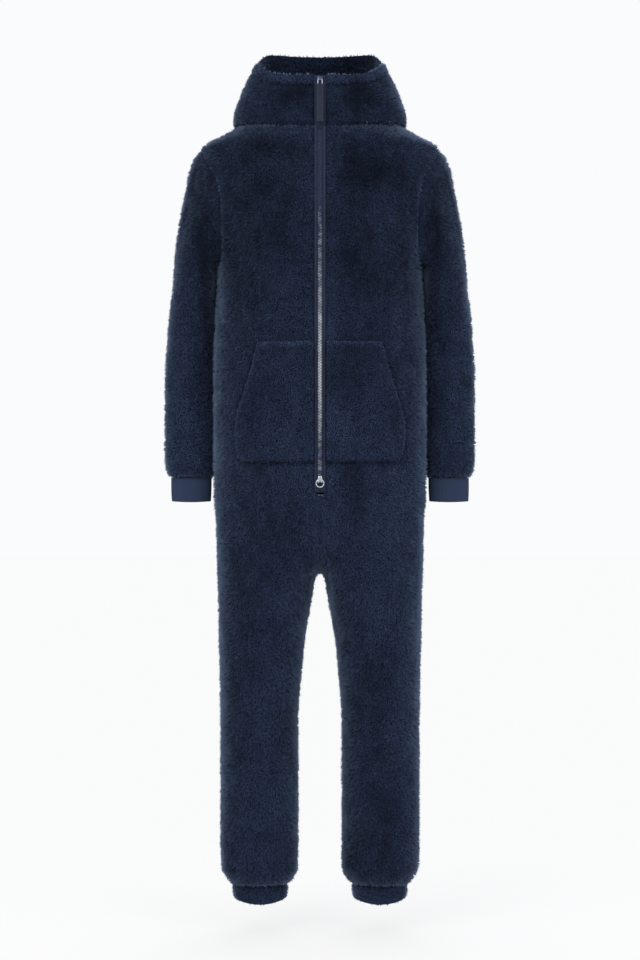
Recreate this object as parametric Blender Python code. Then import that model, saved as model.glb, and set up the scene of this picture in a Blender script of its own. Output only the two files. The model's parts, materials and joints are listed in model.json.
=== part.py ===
"""A hooded onesie pajama in teddy fleece with a full two-way front zip, in its hollow, worn form.

Sizes are in millimetres and become metres where a mesh is made. The wearer's left is +X, the
front faces -Y and +Z is up. The origin is inside the neck, level with the neck seam.

Each cut piece is a wall: a grid of outer points and the same grid moved inwards along the
surface's own normals. Two pieces that meet at a seam share the normals there, so that their
edges stay parallel and a seam gap apart.
"""

from collections import namedtuple

import bmesh
import bpy
import numpy as np

MM = 0.001

# Cloth
FLEECE_WALL = 6.0  # base cloth and pile
KNIT_WALL = 3.0
POCKET_WALL = 5.0
TAPE_WALL = 1.6
SEAM_GAP = 0.3
ARMHOLE_GAP = 0.45  # the armhole's rim twists, so its gap is a little wider
POCKET_GAP = 0.95  # the patch clears the panel's facets
OPENING_LIFT = 2.6  # how far the hand opening stands off the panel

# Body
COLUMNS = 9  # steps across a quarter of the torso or half of a leg
ROUNDNESS = 2.3  # exponent of the torso's section
LEG_ROUNDNESS = 2.1
CROTCH_Z = -891.0
CROTCH_RISE = 135.0  # height over which the torso divides into two legs
TIP_Z = -58.0  # shoulder tip
UNDERARM_Z = -300.0
ANKLE_Z = -1509.0
ANKLE_BOTTOM_Z = -1545.0

# Zip
ZIP_HALF_WIDTH = 11.5  # from the centre line to the fleece's edge
ZIP_END_Z = -738.0
ZIP_CLOSED_Z = -756.0  # below this the two fronts meet
TAPE_RECESS = 2.6  # tape surface below the tips of the pile
CHAIN_HALF_WIDTH = 4.0
CHAIN_PROUD = 0.6
RIM_BELOW_TOP = 1.5
SLIDER_WIDTH = 10.6
SLIDER_LENGTH = 13.0
SLIDER_HEIGHT = 4.6
BRIDGE_WIRE = 1.2
BRIDGE_REACH = 6.8
UPPER_SLIDER_Z = 67.0  # centre of its body
LOWER_SLIDER_Z = -708.0
LINK_WIRE = 0.8
LINK_WIDTH = 8.4
LINK_LENGTH = 11.0
TAB_WIDTH = 14.0
TAB_LENGTH = 74.0
TAB_WALL = 2.4
RING_RADIUS = 7.4
RING_WIRE = 1.1

# Torso sections. z: height at the side. rise_*: how much higher the centre of the section lies.
# half_width, front and back: the section's half width and its depths from the side seam.
# arm_front, arm_back: where the armhole cuts it. zip: half width of the opening for the zip.
Torso = namedtuple("Torso", "z rise_front rise_back half_width front back arm_front arm_back")
TORSO = [
    Torso(-9, -10, 14, 157, 108, 108, 999, 999),
    Torso(-31, 2, 16, 192, 117, 122, 999, 999),
    Torso(-58, 12, 16, 236, 126, 134, 236, 236),
    Torso(-84, 6, 10, 240, 133, 143, 226, 228),
    Torso(-103, 2, 4, 241, 137, 147, 216, 220),
    Torso(-130, 0, 0, 240, 141, 151, 201, 209),
    Torso(-170, 0, 0, 234, 145, 153, 196, 203),
    Torso(-210, 0, 0, 225, 148, 153, 194, 200),
    Torso(-250, 0, 0, 212, 149, 151, 194, 198),
    Torso(-282, 0, 0, 202, 148, 149, 196, 197),
    Torso(-300, 0, 0, 199, 147, 148, 199, 199),
    Torso(-380, 0, 0, 202, 144, 144, 999, 999),
    Torso(-460, 0, 0, 205, 143, 143, 999, 999),
    Torso(-600, 0, 0, 206, 147, 149, 999, 999),
    Torso(-750, 0, 0, 205, 145, 158, 999, 999),
    Torso(-850, 0, 0, 203, 138, 158, 999, 999),
    Torso(-891, 0, 0, 202, 130, 150, 999, 999),
    Torso(-1600, 0, 0, 202, 130, 150, 999, 999),
]

# Leg sections: inner and outer edge, depths from the seams, and where the seams lie in depth.
Leg = namedtuple("Leg", "z inner outer front back seam_y")
LEG = [
    Leg(0, 0, 202, 128, 146, 5),
    Leg(-891, 0, 202, 126, 146, 5),
    Leg(-897, 7, 202, 125, 145, 5),
    Leg(-911, 11, 201, 123, 142, 5),
    Leg(-946, 17, 200, 119, 137, 5),
    Leg(-1018, 29, 199, 111, 126, 5),
    Leg(-1089, 37, 197, 104, 116, 6),
    Leg(-1184, 43.5, 196, 97, 105, 8),
    Leg(-1300, 43.5, 196, 88, 97, 11),
    Leg(-1430, 43.5, 196, 80, 88, 14),
    Leg(-1478, 44, 194, 77, 83, 15),
    Leg(-1495, 51, 186, 68, 73, 15),
    Leg(-1505, 59, 179, 58, 62, 15),
    Leg(-1509, 62, 175, 53, 57, 15),
]

# Sleeve sections below the armhole: inner and outer edge, depths from the middle, and the middle.
Sleeve = namedtuple("Sleeve", "z inner outer front back middle_y")
SLEEVE = [
    Sleeve(-330, 207, 291, 80, 80, 22),
    Sleeve(-376, 208, 298, 72, 72, 27),
    Sleeve(-447, 209, 304, 62, 62, 32),
    Sleeve(-543, 209.5, 308, 54, 54, 32),
    Sleeve(-650, 209.5, 308, 48, 48, 24),
    Sleeve(-684, 210, 306, 45, 46, 20),
    Sleeve(-697, 211, 302, 37, 38, 19),
    Sleeve(-705, 214, 297, 27, 27, 19),
]
SLEEVE_ROUNDNESS = 2.1
SLEEVE_STEPS = 6  # rings between the armhole and the first section
SLEEVE_PULL = 0.6  # how far the sleeve keeps the armhole's direction, as a share of its span
SHOULDER_PULL = 0.35  # how much further it does so over the shoulder
CUFF_BOTTOM_Z = -753.0

# Hood rings from the crease against the body, round the fold, to the rim: half width, where the
# front and the back lie, their heights, and how flat the ring runs before it turns to the side.
Ring = namedtuple("Ring", "half_width front_y back_y front_z side_z back_z flat_front flat_back")
HOOD = [
    Ring(161, -103.6, 131, -15.5, -11.5, -17, 2, 2),
    Ring(165, -104, 147, -12, -13, -62, 2, 2),
    Ring(170, -105, 178, -3, -8, -120, 2, 2),
    Ring(169.5, -106, 222, 16, 14, -72, 2, 2),
    Ring(152, -106, 214, 46, 62, 30, 2.6, 3),
    Ring(128, -105, 116, 78, 114, 149, 4, 10),
]
SLEEVE_CLEARANCE = 2.2  # between the body and the sleeve beside it
HOOD_CLEARANCE = 4.0  # between the body and the hood that hangs on it
HOOD_STEPS = 2  # rows between two hood rings

# Pocket sections: how far the pocket reaches sideways at each height.
Pocket = namedtuple("Pocket", "z outer")
POCKET = [
    Pocket(-441, 119),
    Pocket(-462, 124),
    Pocket(-495, 133),
    Pocket(-530, 143),
    Pocket(-560, 153),
    Pocket(-585, 160),
    Pocket(-612, 163),
    Pocket(-640, 162),
    Pocket(-660, 158),
    Pocket(-676, 150),
]
POCKET_SHARED = 4  # columns that follow the panel's own
POCKET_COLUMNS = 5  # columns from there to the hand opening

# The largest folds, each a soft ridge (+) or trough (-). part and side say what it lies on,
# across and z where its middle is, tilt how far it leans from upright, in degrees. On a sleeve
# across and width are shares of the way round it, from its outer edge over the front.
Fold = namedtuple("Fold", "part side across z length width tilt height")
FOLDS = [
    Fold("front", 1, 118, -150, 150, 60, 42, -4.0),
    Fold("front", 1, 140, -205, 130, 44, 55, 3.5),
    Fold("front", -1, 128, -165, 150, 60, 38, -4.0),
    Fold("front", 1, 165, -760, 230, 46, 4, -4.0),
    Fold("front", -1, 163, -745, 250, 46, -4, -4.5),
    Fold("front", 1, 60, -800, 130, 50, 40, -3.0),
    Fold("front", -1, 62, -795, 120, 50, 38, -3.0),
    Fold("front", -1, 115, -1010, 40, 110, 0, -3.5),
    Fold("front", -1, 120, -1045, 36, 120, 4, 3.0),
    Fold("front", 1, 118, -1270, 380, 44, 2, -5.0),
    Fold("front", 1, 82, -1290, 300, 36, 3, 3.5),
    Fold("front", -1, 125, -1300, 330, 50, -3, -3.5),
    Fold("back", 1, 120, -200, 190, 60, 30, -4.0),
    Fold("back", -1, 122, -215, 170, 60, 33, -4.0),
    Fold("back", 1, 95, -470, 60, 170, 12, -4.5),
    Fold("back", -1, 90, -500, 56, 160, 9, -4.0),
    Fold("back", 1, 95, -545, 50, 150, 6, 3.5),
    Fold("back", 1, 110, -905, 70, 120, 28, -5.0),
    Fold("back", -1, 112, -915, 70, 120, 30, -5.0),
    Fold("back", 1, 120, -1215, 60, 120, 14, -5.0),
    Fold("back", -1, 118, -1230, 56, 110, 10, -4.5),
    Fold("back", -1, 120, -1165, 50, 110, 8, 3.5),
    Fold("sleeve", 1, 0.30, -430, 110, 0.16, 0, -4.0),
    Fold("sleeve", -1, 0.28, -400, 170, 0.14, 0, -5.0),
    Fold("sleeve", -1, 0.75, -470, 60, 0.30, 0, -4.5),
    Fold("sleeve", 1, 0.74, -500, 55, 0.30, 0, -4.5),
    Fold("sleeve", 1, 0.10, -610, 130, 0.14, 0, -3.0),
]

# Row heights of the body panels, from the neck to the ankle seam.
NECK_ROWS = [-9, -31, -58]
ARMHOLE_ROWS = [-80, -103, -135, -172, -210, -245, -272, -290, -300]
TRUNK_ROWS = [-322, -360, -405, -455, -510, -565, -620, -675, -722, -738, -756]
CROTCH_STEPS = 6
LEG_ROWS = [-897, -908, -925, -950, -985, -1030, -1085, -1145, -1210,
            -1280, -1350, -1420, -1462, -1480, -1492, -1501, -1509]

COLOURS = {
    "fleece": (0.0137, 0.0187, 0.0399, 1.0),
    "knit": (0.0300, 0.0423, 0.0865, 1.0),
    "tape": (0.0260, 0.0382, 0.0742, 1.0),
    "metal": (0.5900, 0.6100, 0.6400, 1.0),
}


# ---------------------------------------------------------------- curves

def curve_through(keys, values, at):
    """A smooth curve through the values that never overshoots them (monotone cubic)."""
    keys, values, at = (np.asarray(part, float) for part in (keys, values, at))
    order = np.argsort(keys)
    keys, values = keys[order], values[order]
    gaps = np.diff(keys)
    slopes = np.diff(values) / gaps
    tangents = np.zeros(len(keys))
    tangents[0], tangents[-1] = slopes[0], slopes[-1]
    for i in range(1, len(keys) - 1):
        if slopes[i - 1] * slopes[i] > 0:
            tangents[i] = 2 * slopes[i - 1] * slopes[i] / (slopes[i - 1] + slopes[i])
    at = np.clip(at, keys[0], keys[-1])
    i = np.clip(np.searchsorted(keys, at) - 1, 0, len(gaps) - 1)
    t = (at - keys[i]) / gaps[i]
    return (
        (1 + 2 * t) * (1 - t) ** 2 * values[i]
        + t * (1 - t) ** 2 * gaps[i] * tangents[i]
        + t * t * (3 - 2 * t) * values[i + 1]
        + t * t * (t - 1) * gaps[i] * tangents[i + 1]
    )


def column(table, name, z):
    """One named column of a table, read at the heights z."""
    return curve_through([row.z for row in table], [getattr(row, name) for row in table], z)


def power(value, exponent):
    return np.sign(value) * np.abs(value) ** exponent


def smooth_step(value, low, high):
    t = np.clip((value - low) / (high - low), 0.0, 1.0)
    return t * t * (3 - 2 * t)


def unit(vectors):
    return vectors / np.maximum(np.linalg.norm(vectors, axis=-1, keepdims=True), 1e-9)


# ---------------------------------------------------------------- body surface

def zip_edge(z):
    """Half width of the opening for the zip at height z."""
    return SEAM_GAP / 2 + (ZIP_HALF_WIDTH - SEAM_GAP / 2) * smooth_step(z, ZIP_CLOSED_Z, ZIP_END_Z)


def armhole_edge(face, z):
    """Where the armhole cuts the section, or a huge value where it doesn't."""
    name = "arm_front" if face < 0 else "arm_back"
    rows = [row for row in TORSO if getattr(row, name) < 999]
    edge = column(rows, name, z)
    return np.where((z <= TIP_Z) & (z >= UNDERARM_Z), edge, 9999.0)


def side_edge(z):
    """Where the side seam lies: the torso's half width, and the leg's outer edge below it."""
    return np.where(z >= CROTCH_Z, column(TORSO, "half_width", z), column(LEG, "outer", z))


def torso_points(face, share, z):
    """Points of the torso's ring; share runs from the zip's edge (0) to the side or armhole (1)."""
    half = side_edge(z)
    depth = column(TORSO, "front" if face < 0 else "back", z)
    rise = column(TORSO, "rise_front" if face < 0 else "rise_back", z)
    seam_y = column(LEG, "seam_y", z)
    inner = zip_edge(z) if face < 0 else np.full_like(z, SEAM_GAP / 2)
    first = np.arcsin(np.clip(inner / half, 0, 1) ** (ROUNDNESS / 2))
    last = np.arcsin(np.clip(armhole_edge(face, z) / half, 0, 1) ** (ROUNDNESS / 2))
    angle = first + (np.pi / 2 - first) * share + (last - np.pi / 2) * share ** 2
    across = half * power(np.sin(angle), 2 / ROUNDNESS)
    along = depth * power(np.cos(angle), 2 / ROUNDNESS)
    return np.stack([across, seam_y + face * along, z + rise * np.cos(angle) ** 2], axis=-1)


def leg_points(face, share, z):
    """Points of a leg's half ring; share runs from the inseam (0) to the outseam (1)."""
    inner, outer = column(LEG, "inner", z) + SEAM_GAP / 2, side_edge(z)
    depth = column(LEG, "front" if face < 0 else "back", z)
    angle = np.pi * share
    across = (inner + outer) / 2 - (outer - inner) / 2 * power(np.cos(angle), 2 / LEG_ROUNDNESS)
    along = depth * power(np.sin(angle), 2 / LEG_ROUNDNESS)
    return np.stack([across, column(LEG, "seam_y", z) + face * along, z], axis=-1)


def body_rows():
    rise = [CROTCH_Z + CROTCH_RISE * (1 - np.cos(turn))
            for turn in np.linspace(np.pi / 2, 0, CROTCH_STEPS + 1)]
    return np.array(NECK_ROWS + ARMHOLE_ROWS + TRUNK_ROWS + rise[1:] + LEG_ROWS, float)


def body_points(face, share, z):
    """The panel's surface: torso above, leg below, and a rounded division between them."""
    height = np.clip((z - CROTCH_Z) / CROTCH_RISE, 0, 1)
    torso, leg = torso_points(face, share, z), leg_points(face, share, z)
    mixed = leg.copy()
    mixed[..., 0] += (torso - leg)[..., 0] * smooth_step(height, 0, 1)
    soft = smooth_step(height, 0, 1)
    rounded = soft + (np.sqrt(1 - (1 - height) ** 2) - soft) * (1 - share) ** 3
    deep, shallow = torso_depth(face, mixed[..., 0], z), leg_depth(face, mixed[..., 0], z)
    mixed[..., 1] = column(LEG, "seam_y", z) + face * (shallow + (deep - shallow) * rounded)
    return np.where((height < 1)[..., None], np.where((height > 0)[..., None], mixed, leg), torso)


def torso_depth(face, across, z):
    """How far the torso's section lies from the side seams, at a place across it."""
    share = np.clip(across / side_edge(z), 0, 1)
    return column(TORSO, "front" if face < 0 else "back", z) * (1 - share ** ROUNDNESS) ** (1 / ROUNDNESS)


def leg_depth(face, across, z):
    """How far a leg's section lies from its seams, at a place across it."""
    inner, outer = column(LEG, "inner", z) + SEAM_GAP / 2, side_edge(z)
    share = np.clip(np.abs(2 * across - inner - outer) / (outer - inner), 0, 1)
    depth = column(LEG, "front" if face < 0 else "back", z)
    return depth * (1 - share ** LEG_ROUNDNESS) ** (1 / LEG_ROUNDNESS)


def grid_normals(points, flip):
    """Unit normals of a grid of points, one-sided at its edges."""
    return unit(np.cross(np.gradient(points, axis=0), np.gradient(points, axis=1)) * flip)


def body_grid(face):
    """Outer points and normals of the panel on the wearer's left: rows by columns."""
    z, share = np.meshgrid(body_rows(), np.linspace(0, 1, COLUMNS + 1), indexing="ij")
    points = body_points(face, share, z)
    return points, grid_normals(points, -face)


def join_normals(front, back, rows):
    """Gives the front and back panels common normals where they meet, and at the centre line."""
    z = body_rows()
    side = (z >= TIP_Z) | (z <= UNDERARM_Z)
    common = unit(front[side, -1] + back[side, -1])
    front[side, -1], back[side, -1] = common, common
    inseam = z < CROTCH_Z - 0.5
    common = unit(front[inseam, 0] + back[inseam, 0])
    front[inseam, 0], back[inseam, 0] = common, common
    for normals in (front, back):
        normals[~inseam, 0, 0] = 0
        normals[:, 0] = unit(normals[:, 0])
    crotch = int(np.argmin(np.abs(z - CROTCH_Z)))
    underarm = int(np.argmin(np.abs(z - UNDERARM_Z)))
    for normals, points in zip((front, back), rows):
        normals[crotch, 0] = (0, 0, -1)
        # Towards the underarm and the nape the cloth turns into the crease between two pieces.
        arm = (z <= TIP_Z) & (z >= UNDERARM_Z)
        turn = smooth_step(z[arm], -150.0, UNDERARM_Z)[:, None]
        normals[arm, -1] = unit((1 - turn) * normals[arm, -1] + turn * np.array([0.15, 0, -1.0]))
        down = unit(points[1] - points[0])
        turn = nape_turn(points[0])[:, None]
        normals[0] = unit((1 - turn) * normals[0] + turn * down)
    front[underarm, -1] = back[underarm, -1] = unit(np.array([0.15, 0.0, -1.0]))


def nape_turn(seam):
    """How far the hood's seam is turned down: not at the zip, half at the side, fully at the back."""
    angle = np.degrees(np.arctan2(seam[:, 0] / 157.0, -(seam[:, 1] - 5.0) / 108.0))
    return 0.75 * smooth_step(angle, 12, 100) + 0.2 * smooth_step(angle, 100, 150)


# ---------------------------------------------------------------- folds

def fold_height(part, side, across, z):
    """Sum of the folds of one part at the places (across, z)."""
    total = np.zeros_like(z)
    for fold in FOLDS:
        if fold.part == part and fold.side == side:
            lean = np.radians(fold.tilt)
            right, up = across - fold.across, z - fold.z
            right, up = right * np.cos(lean) + up * np.sin(lean), up * np.cos(lean) - right * np.sin(lean)
            total += fold.height * np.exp(-(2 * right / fold.width) ** 2 - (2 * up / fold.length) ** 2)
    return total


def fade_at_edges(columns):
    """0 at both side edges of a grid and 1 over its middle, so that seams stay put."""
    share = np.linspace(0, 1, columns)
    return (smooth_step(share, 0, 0.22) * smooth_step(1 - share, 0, 0.22))[None, :]


def fade_at_ends(rows):
    share = np.linspace(0, 1, rows)
    return (smooth_step(share, 0, 0.08) * smooth_step(1 - share, 0, 0.05))[:, None]


# ---------------------------------------------------------------- meshes

def material_for(name, kind):
    made = bpy.data.materials.new(name)
    made.use_nodes = True
    shader = made.node_tree.nodes["Principled BSDF"]
    shader.inputs["Base Color"].default_value = COLOURS[kind]
    shader.inputs["Roughness"].default_value = 0.3 if kind == "metal" else 0.95
    shader.inputs["Metallic"].default_value = 1.0 if kind == "metal" else 0.0
    return made


def finish_object(obj, kind):
    obj.data.materials.clear()
    obj.data.materials.append(material_for(obj.name, kind))
    for holder in list(obj.users_collection):
        holder.objects.unlink(obj)
    bpy.data.collections["onesie_pajama"].objects.link(obj)
    obj.data.shade_smooth()
    obj.data.set_sharp_from_angle(angle=np.radians(40))
    return obj


def wall(name, outer, inner, kind, ring=False):
    """A closed body between two grids of points; ring joins the last column to the first."""
    rows, columns = outer.shape[:2]
    mesh_points = np.concatenate([outer.reshape(-1, 3), inner.reshape(-1, 3)]) * MM
    shape = bmesh.new()
    verts = [shape.verts.new(point) for point in mesh_points]
    second = rows * columns
    spans = columns if ring else columns - 1

    def at(layer, row, step):
        return verts[layer * second + row * columns + step % columns]

    for row in range(rows - 1):
        for step in range(spans):
            for layer in (0, 1):
                shape.faces.new([at(layer, row, step), at(layer, row + 1, step),
                                 at(layer, row + 1, step + 1), at(layer, row, step + 1)])
    for row in (0, rows - 1):
        for step in range(spans):
            shape.faces.new([at(0, row, step), at(0, row, step + 1),
                             at(1, row, step + 1), at(1, row, step)])
    if not ring:
        for step in (0, columns - 1):
            for row in range(rows - 1):
                shape.faces.new([at(0, row, step), at(0, row + 1, step),
                                 at(1, row + 1, step), at(1, row, step)])
    bmesh.ops.recalc_face_normals(shape, faces=shape.faces)
    if shape.calc_volume(signed=True) < 0:
        bmesh.ops.reverse_faces(shape, faces=shape.faces)
    mesh = bpy.data.meshes.new(name)
    shape.to_mesh(mesh)
    shape.free()
    obj = bpy.data.objects.new(name, mesh)
    bpy.context.scene.collection.objects.link(obj)
    return finish_object(obj, kind)


def mirrored(points, side):
    """A grid of the wearer's left, or its mirror image."""
    return points * np.array([side, 1.0, 1.0])


# ---------------------------------------------------------------- pieces

def seam_shift(face):
    """Moves the side seam and the inseam off the middle plane by half a seam gap."""
    z = body_rows()
    shift = np.zeros((len(z), COLUMNS + 1, 3))
    shift[(z >= TIP_Z) | (z <= UNDERARM_Z), -1, 1] = face * SEAM_GAP / 2
    shift[z < CROTCH_Z + 0.5, 0, 1] = face * SEAM_GAP / 2
    return shift


def make_body():
    """The four body panels. Returns the grids that the other pieces are made from."""
    grids = {face: body_grid(face) for face in (-1, 1)}
    join_normals(grids[-1][1], grids[1][1], (grids[-1][0], grids[1][0]))
    shaped = {}
    for face, part in ((-1, "front"), (1, "back")):
        for side, hand in ((1, "left"), (-1, "right")):
            points, normals = grids[face]
            height = fold_height(part, side, points[..., 0], points[..., 2])
            height = height * fade_at_edges(points.shape[1]) * fade_at_ends(points.shape[0])
            outer = points + seam_shift(face) + normals * height[..., None]
            inner = outer - normals * FLEECE_WALL
            wall(f"{part}_{hand}", mirrored(outer, side), mirrored(inner, side), "fleece")
            shaped[part, side] = (outer, normals)
    return grids, shaped


def body_samples():
    """Points and normals all over the panels, leaving out the armhole's own edge."""
    found = []
    for face in (-1, 1):
        z, share = np.meshgrid(np.linspace(NECK_ROWS[0], CROTCH_Z, 130), np.linspace(0, 1, 40),
                               indexing="ij")
        points = body_points(face, share, z)
        normals = grid_normals(points, -face)
        kept = (share < 0.99) | (z < UNDERARM_Z) | (z > TIP_Z)
        found.append((points[kept], normals[kept]))
    return [np.concatenate(part) for part in zip(*found)]


def held_clear(grid, clearance):
    """Moves the points of a grid that come too near the body outwards, row by row from its seam."""
    points, normals = body_samples()
    grid = grid.copy()
    for row in range(1, len(grid)):
        least = clearance * min(1.0, row / 3)
        for _ in range(3):
            apart = grid[row][:, None] - points[None]
            nearest = np.argmin((apart ** 2).sum(axis=-1), axis=1)
            depth = (apart[np.arange(len(nearest)), nearest] * normals[nearest]).sum(axis=-1)
            reach = np.linalg.norm(apart[np.arange(len(nearest)), nearest], axis=-1)
            push = np.where(reach < 40, np.clip(least - depth, 0, None), 0)
            grid[row] += normals[nearest] * push[:, None]
    return grid


def armhole_loop(grids):
    """The armhole's points and normals, from the shoulder tip down the front and up the back."""
    z = body_rows()
    rows = np.flatnonzero((z <= TIP_Z) & (z >= UNDERARM_Z))
    front, front_normals = grids[-1][0][rows, -1], grids[-1][1][rows, -1]
    back, back_normals = grids[1][0][rows, -1], grids[1][1][rows, -1]
    points = np.concatenate([front, back[::-1][1:-1]])
    normals = np.concatenate([front_normals, back_normals[::-1][1:-1]])
    along = np.roll(points, -1, axis=0) - np.roll(points, 1, axis=0)
    outward = unit(np.cross(normals, along))
    outward *= np.where(outward[:, :1] < 0, -1.0, 1.0)
    for _ in range(8):  # eases the corner at the shoulder tip
        outward = unit(np.roll(outward, 1, axis=0) + 2 * outward + np.roll(outward, -1, axis=0))
    return points, normals, outward


def sleeve_ring(count, z):
    """A sleeve section: from its outer edge round the front, the inner edge and the back."""
    inner, outer = column(SLEEVE, "inner", z), column(SLEEVE, "outer", z)
    angle = 2 * np.pi * np.arange(count) / count
    exponent = 2 / SLEEVE_ROUNDNESS
    across = (inner + outer) / 2 + (outer - inner) / 2 * power(np.cos(angle), exponent)
    depth = np.where(np.sin(angle) > 0, -column(SLEEVE, "front", z), column(SLEEVE, "back", z))
    along = column(SLEEVE, "middle_y", z) + depth * np.abs(np.sin(angle)) ** exponent
    return np.stack([across, along, np.full(count, float(z))], axis=-1)


def sleeve_grid(grids):
    points, normals, outward = armhole_loop(grids)
    start = points + outward * ARMHOLE_GAP
    first = sleeve_ring(len(points), SLEEVE[0].z)
    span = np.linalg.norm(first - start, axis=1, keepdims=True)
    pull = SLEEVE_PULL + SHOULDER_PULL * smooth_step(start[:, 2:], -190.0, TIP_Z)
    rows = []
    for t in np.linspace(0, 1, SLEEVE_STEPS + 1):
        rows.append((1 + 2 * t) * (1 - t) ** 2 * start
                    + t * (1 - t) ** 2 * span * pull * outward
                    + t * t * (3 - 2 * t) * first
                    + t * t * (t - 1) * span * SLEEVE_PULL * np.array([0, 0, -1.0]))
    heights = [-353, -390, -440, -500, -565, -625, -665, -684, -697, -705]
    rows += [sleeve_ring(len(points), z) for z in heights]
    grid = held_clear(np.array(rows), SLEEVE_CLEARANCE)
    closed = np.concatenate([grid[:, -1:], grid, grid[:, :1]], axis=1)
    found = grid_normals(closed, 1.0)[:, 1:-1]
    away = grid[-3] - grid[-3].mean(axis=0)
    if (found[-3] * away).sum() < 0:
        found = -found
    found[0] = normals
    found[1] = unit(found[1] + 0.35 * normals)
    return grid, found


def make_sleeves(grids):
    grid, normals = sleeve_grid(grids)
    count = grid.shape[1]
    around = np.arange(count)[None, :] / count + np.zeros((len(grid), 1))
    for side, hand in ((1, "left"), (-1, "right")):
        height = fold_height("sleeve", side, around, grid[..., 2]) * fade_at_ends(len(grid))
        outer = grid + normals * height[..., None]
        inner = outer - normals * FLEECE_WALL
        wall(f"sleeve_{hand}", mirrored(outer, side), mirrored(inner, side), "fleece", ring=True)


def band(top, bottom_z, narrow, sag, thickness, steps):
    """A cuff: hangs from the ring of points top, narrows by narrow, its end sags in the middle."""
    middle = top.mean(axis=0)
    reach = np.abs(top[:, 0] - middle[0]).max()
    rows = []
    for t in np.linspace(0, 1, steps):
        scale = 1 - narrow * max(0.0, t - 0.5) * 2
        ring = middle + (top - middle) * np.array([scale, scale, 1.0])
        drop = (bottom_z - top[:, 2]) + sag * ((top[:, 0] - middle[0]) / reach) ** 2
        ring[:, 2] = top[:, 2] + drop * t
        rows.append(ring)
    outer = np.array(rows)
    normals = unit((outer - outer.mean(axis=1, keepdims=True)) * np.array([1, 1, 0.0]))
    return outer, outer - normals * thickness


def make_cuffs():
    top = sleeve_ring(18, SLEEVE[-1].z)
    middle = top.mean(axis=0)
    top = middle + (top - middle) * np.array([0.985, 0.95, 1.0])
    top[:, 2] -= SEAM_GAP
    ankle = ankle_ring()
    for side, hand in ((1, "left"), (-1, "right")):
        outer, inner = band(top, CUFF_BOTTOM_Z, 0.03, 1.5, KNIT_WALL, 4)
        wall(f"wrist_cuff_{hand}", mirrored(outer, side), mirrored(inner, side), "knit", ring=True)
        outer, inner = band(ankle, ANKLE_BOTTOM_Z, 0.04, 8.0, FLEECE_WALL, 4)
        wall(f"ankle_cuff_{hand}", mirrored(outer, side), mirrored(inner, side), "fleece", ring=True)


def ankle_ring():
    share = np.linspace(0, 1, COLUMNS + 1)
    z = np.full(COLUMNS + 1, ANKLE_Z)
    front, back = leg_points(-1, share, z), leg_points(1, share, z)
    ring = np.concatenate([front, back[::-1][1:-1]])
    middle = ring.mean(axis=0)
    ring = middle + (ring - middle) * np.array([0.99, 0.99, 1.0])
    ring[:, 2] -= SEAM_GAP
    return ring


def hood_ring(ring, face):
    """Points of a hood ring over the columns of a panel, from the centre to the side."""
    inner = ZIP_HALF_WIDTH if face < 0 else SEAM_GAP / 2
    first = np.arcsin((inner / ring.half_width) ** (ROUNDNESS / 2))
    angle = first + (np.pi / 2 - first) * np.linspace(0, 1, COLUMNS + 1)
    depth = (ring.front_y if face < 0 else ring.back_y) - 5.0
    end_z = ring.front_z if face < 0 else ring.back_z
    flat = ring.flat_front if face < 0 else ring.flat_back
    return np.stack([
        ring.half_width * power(np.sin(angle), 2 / ROUNDNESS),
        5.0 + depth * power(np.cos(angle), 2 / ROUNDNESS),
        ring.side_z + (end_z - ring.side_z) * (1 - np.sin(angle) ** flat),
    ], axis=-1)


def hood_grid(grids):
    """Rows from the neck seam over the fold to the rim; columns from the zip to the centre back."""
    seam = np.concatenate([grids[-1][0][0], grids[1][0][0][::-1][1:]])
    normals = np.concatenate([grids[-1][1][0], grids[1][1][0][::-1][1:]])
    along = np.gradient(seam, axis=0)
    lift = unit(np.cross(normals, along))
    rings = [seam + lift * SEAM_GAP]
    for ring in HOOD:
        rings.append(np.concatenate([hood_ring(ring, -1), hood_ring(ring, 1)[::-1][1:]]))
    rings = np.array(rings)
    rows = []
    padded = np.concatenate([2 * rings[:1] - rings[1:2], rings, 2 * rings[-1:] - rings[-2:-1]])
    for i in range(1, len(padded) - 2):
        before, start, end, after = padded[i - 1:i + 3]
        for step in range(HOOD_STEPS):
            t = step / HOOD_STEPS
            rows.append(start + 0.5 * t * (end - before)
                        + t * t * (before - 2.5 * start + 2 * end - 0.5 * after)
                        + t ** 3 * (1.5 * start - 0.5 * before - 1.5 * end + 0.5 * after))
    rows.append(rings[-1])
    grid = np.array(rows)
    grid = held_clear(grid, HOOD_CLEARANCE)
    grid[:, 0, 0] = ZIP_HALF_WIDTH
    grid[:, -1, 0] = SEAM_GAP / 2
    found = grid_normals(grid, 1.0)
    if found[-1, 0, 1] > 0:
        found = -found
    found[:, (0, -1), 0] = 0
    found[:, (0, -1)] = unit(found[:, (0, -1)])
    found[0] = normals
    return grid, found


def make_hood(grids):
    grid, normals = hood_grid(grids)
    inner = grid - normals * FLEECE_WALL
    for side, hand in ((1, "left"), (-1, "right")):
        wall(f"hood_{hand}", mirrored(grid, side), mirrored(inner, side), "fleece")
    return grid


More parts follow.
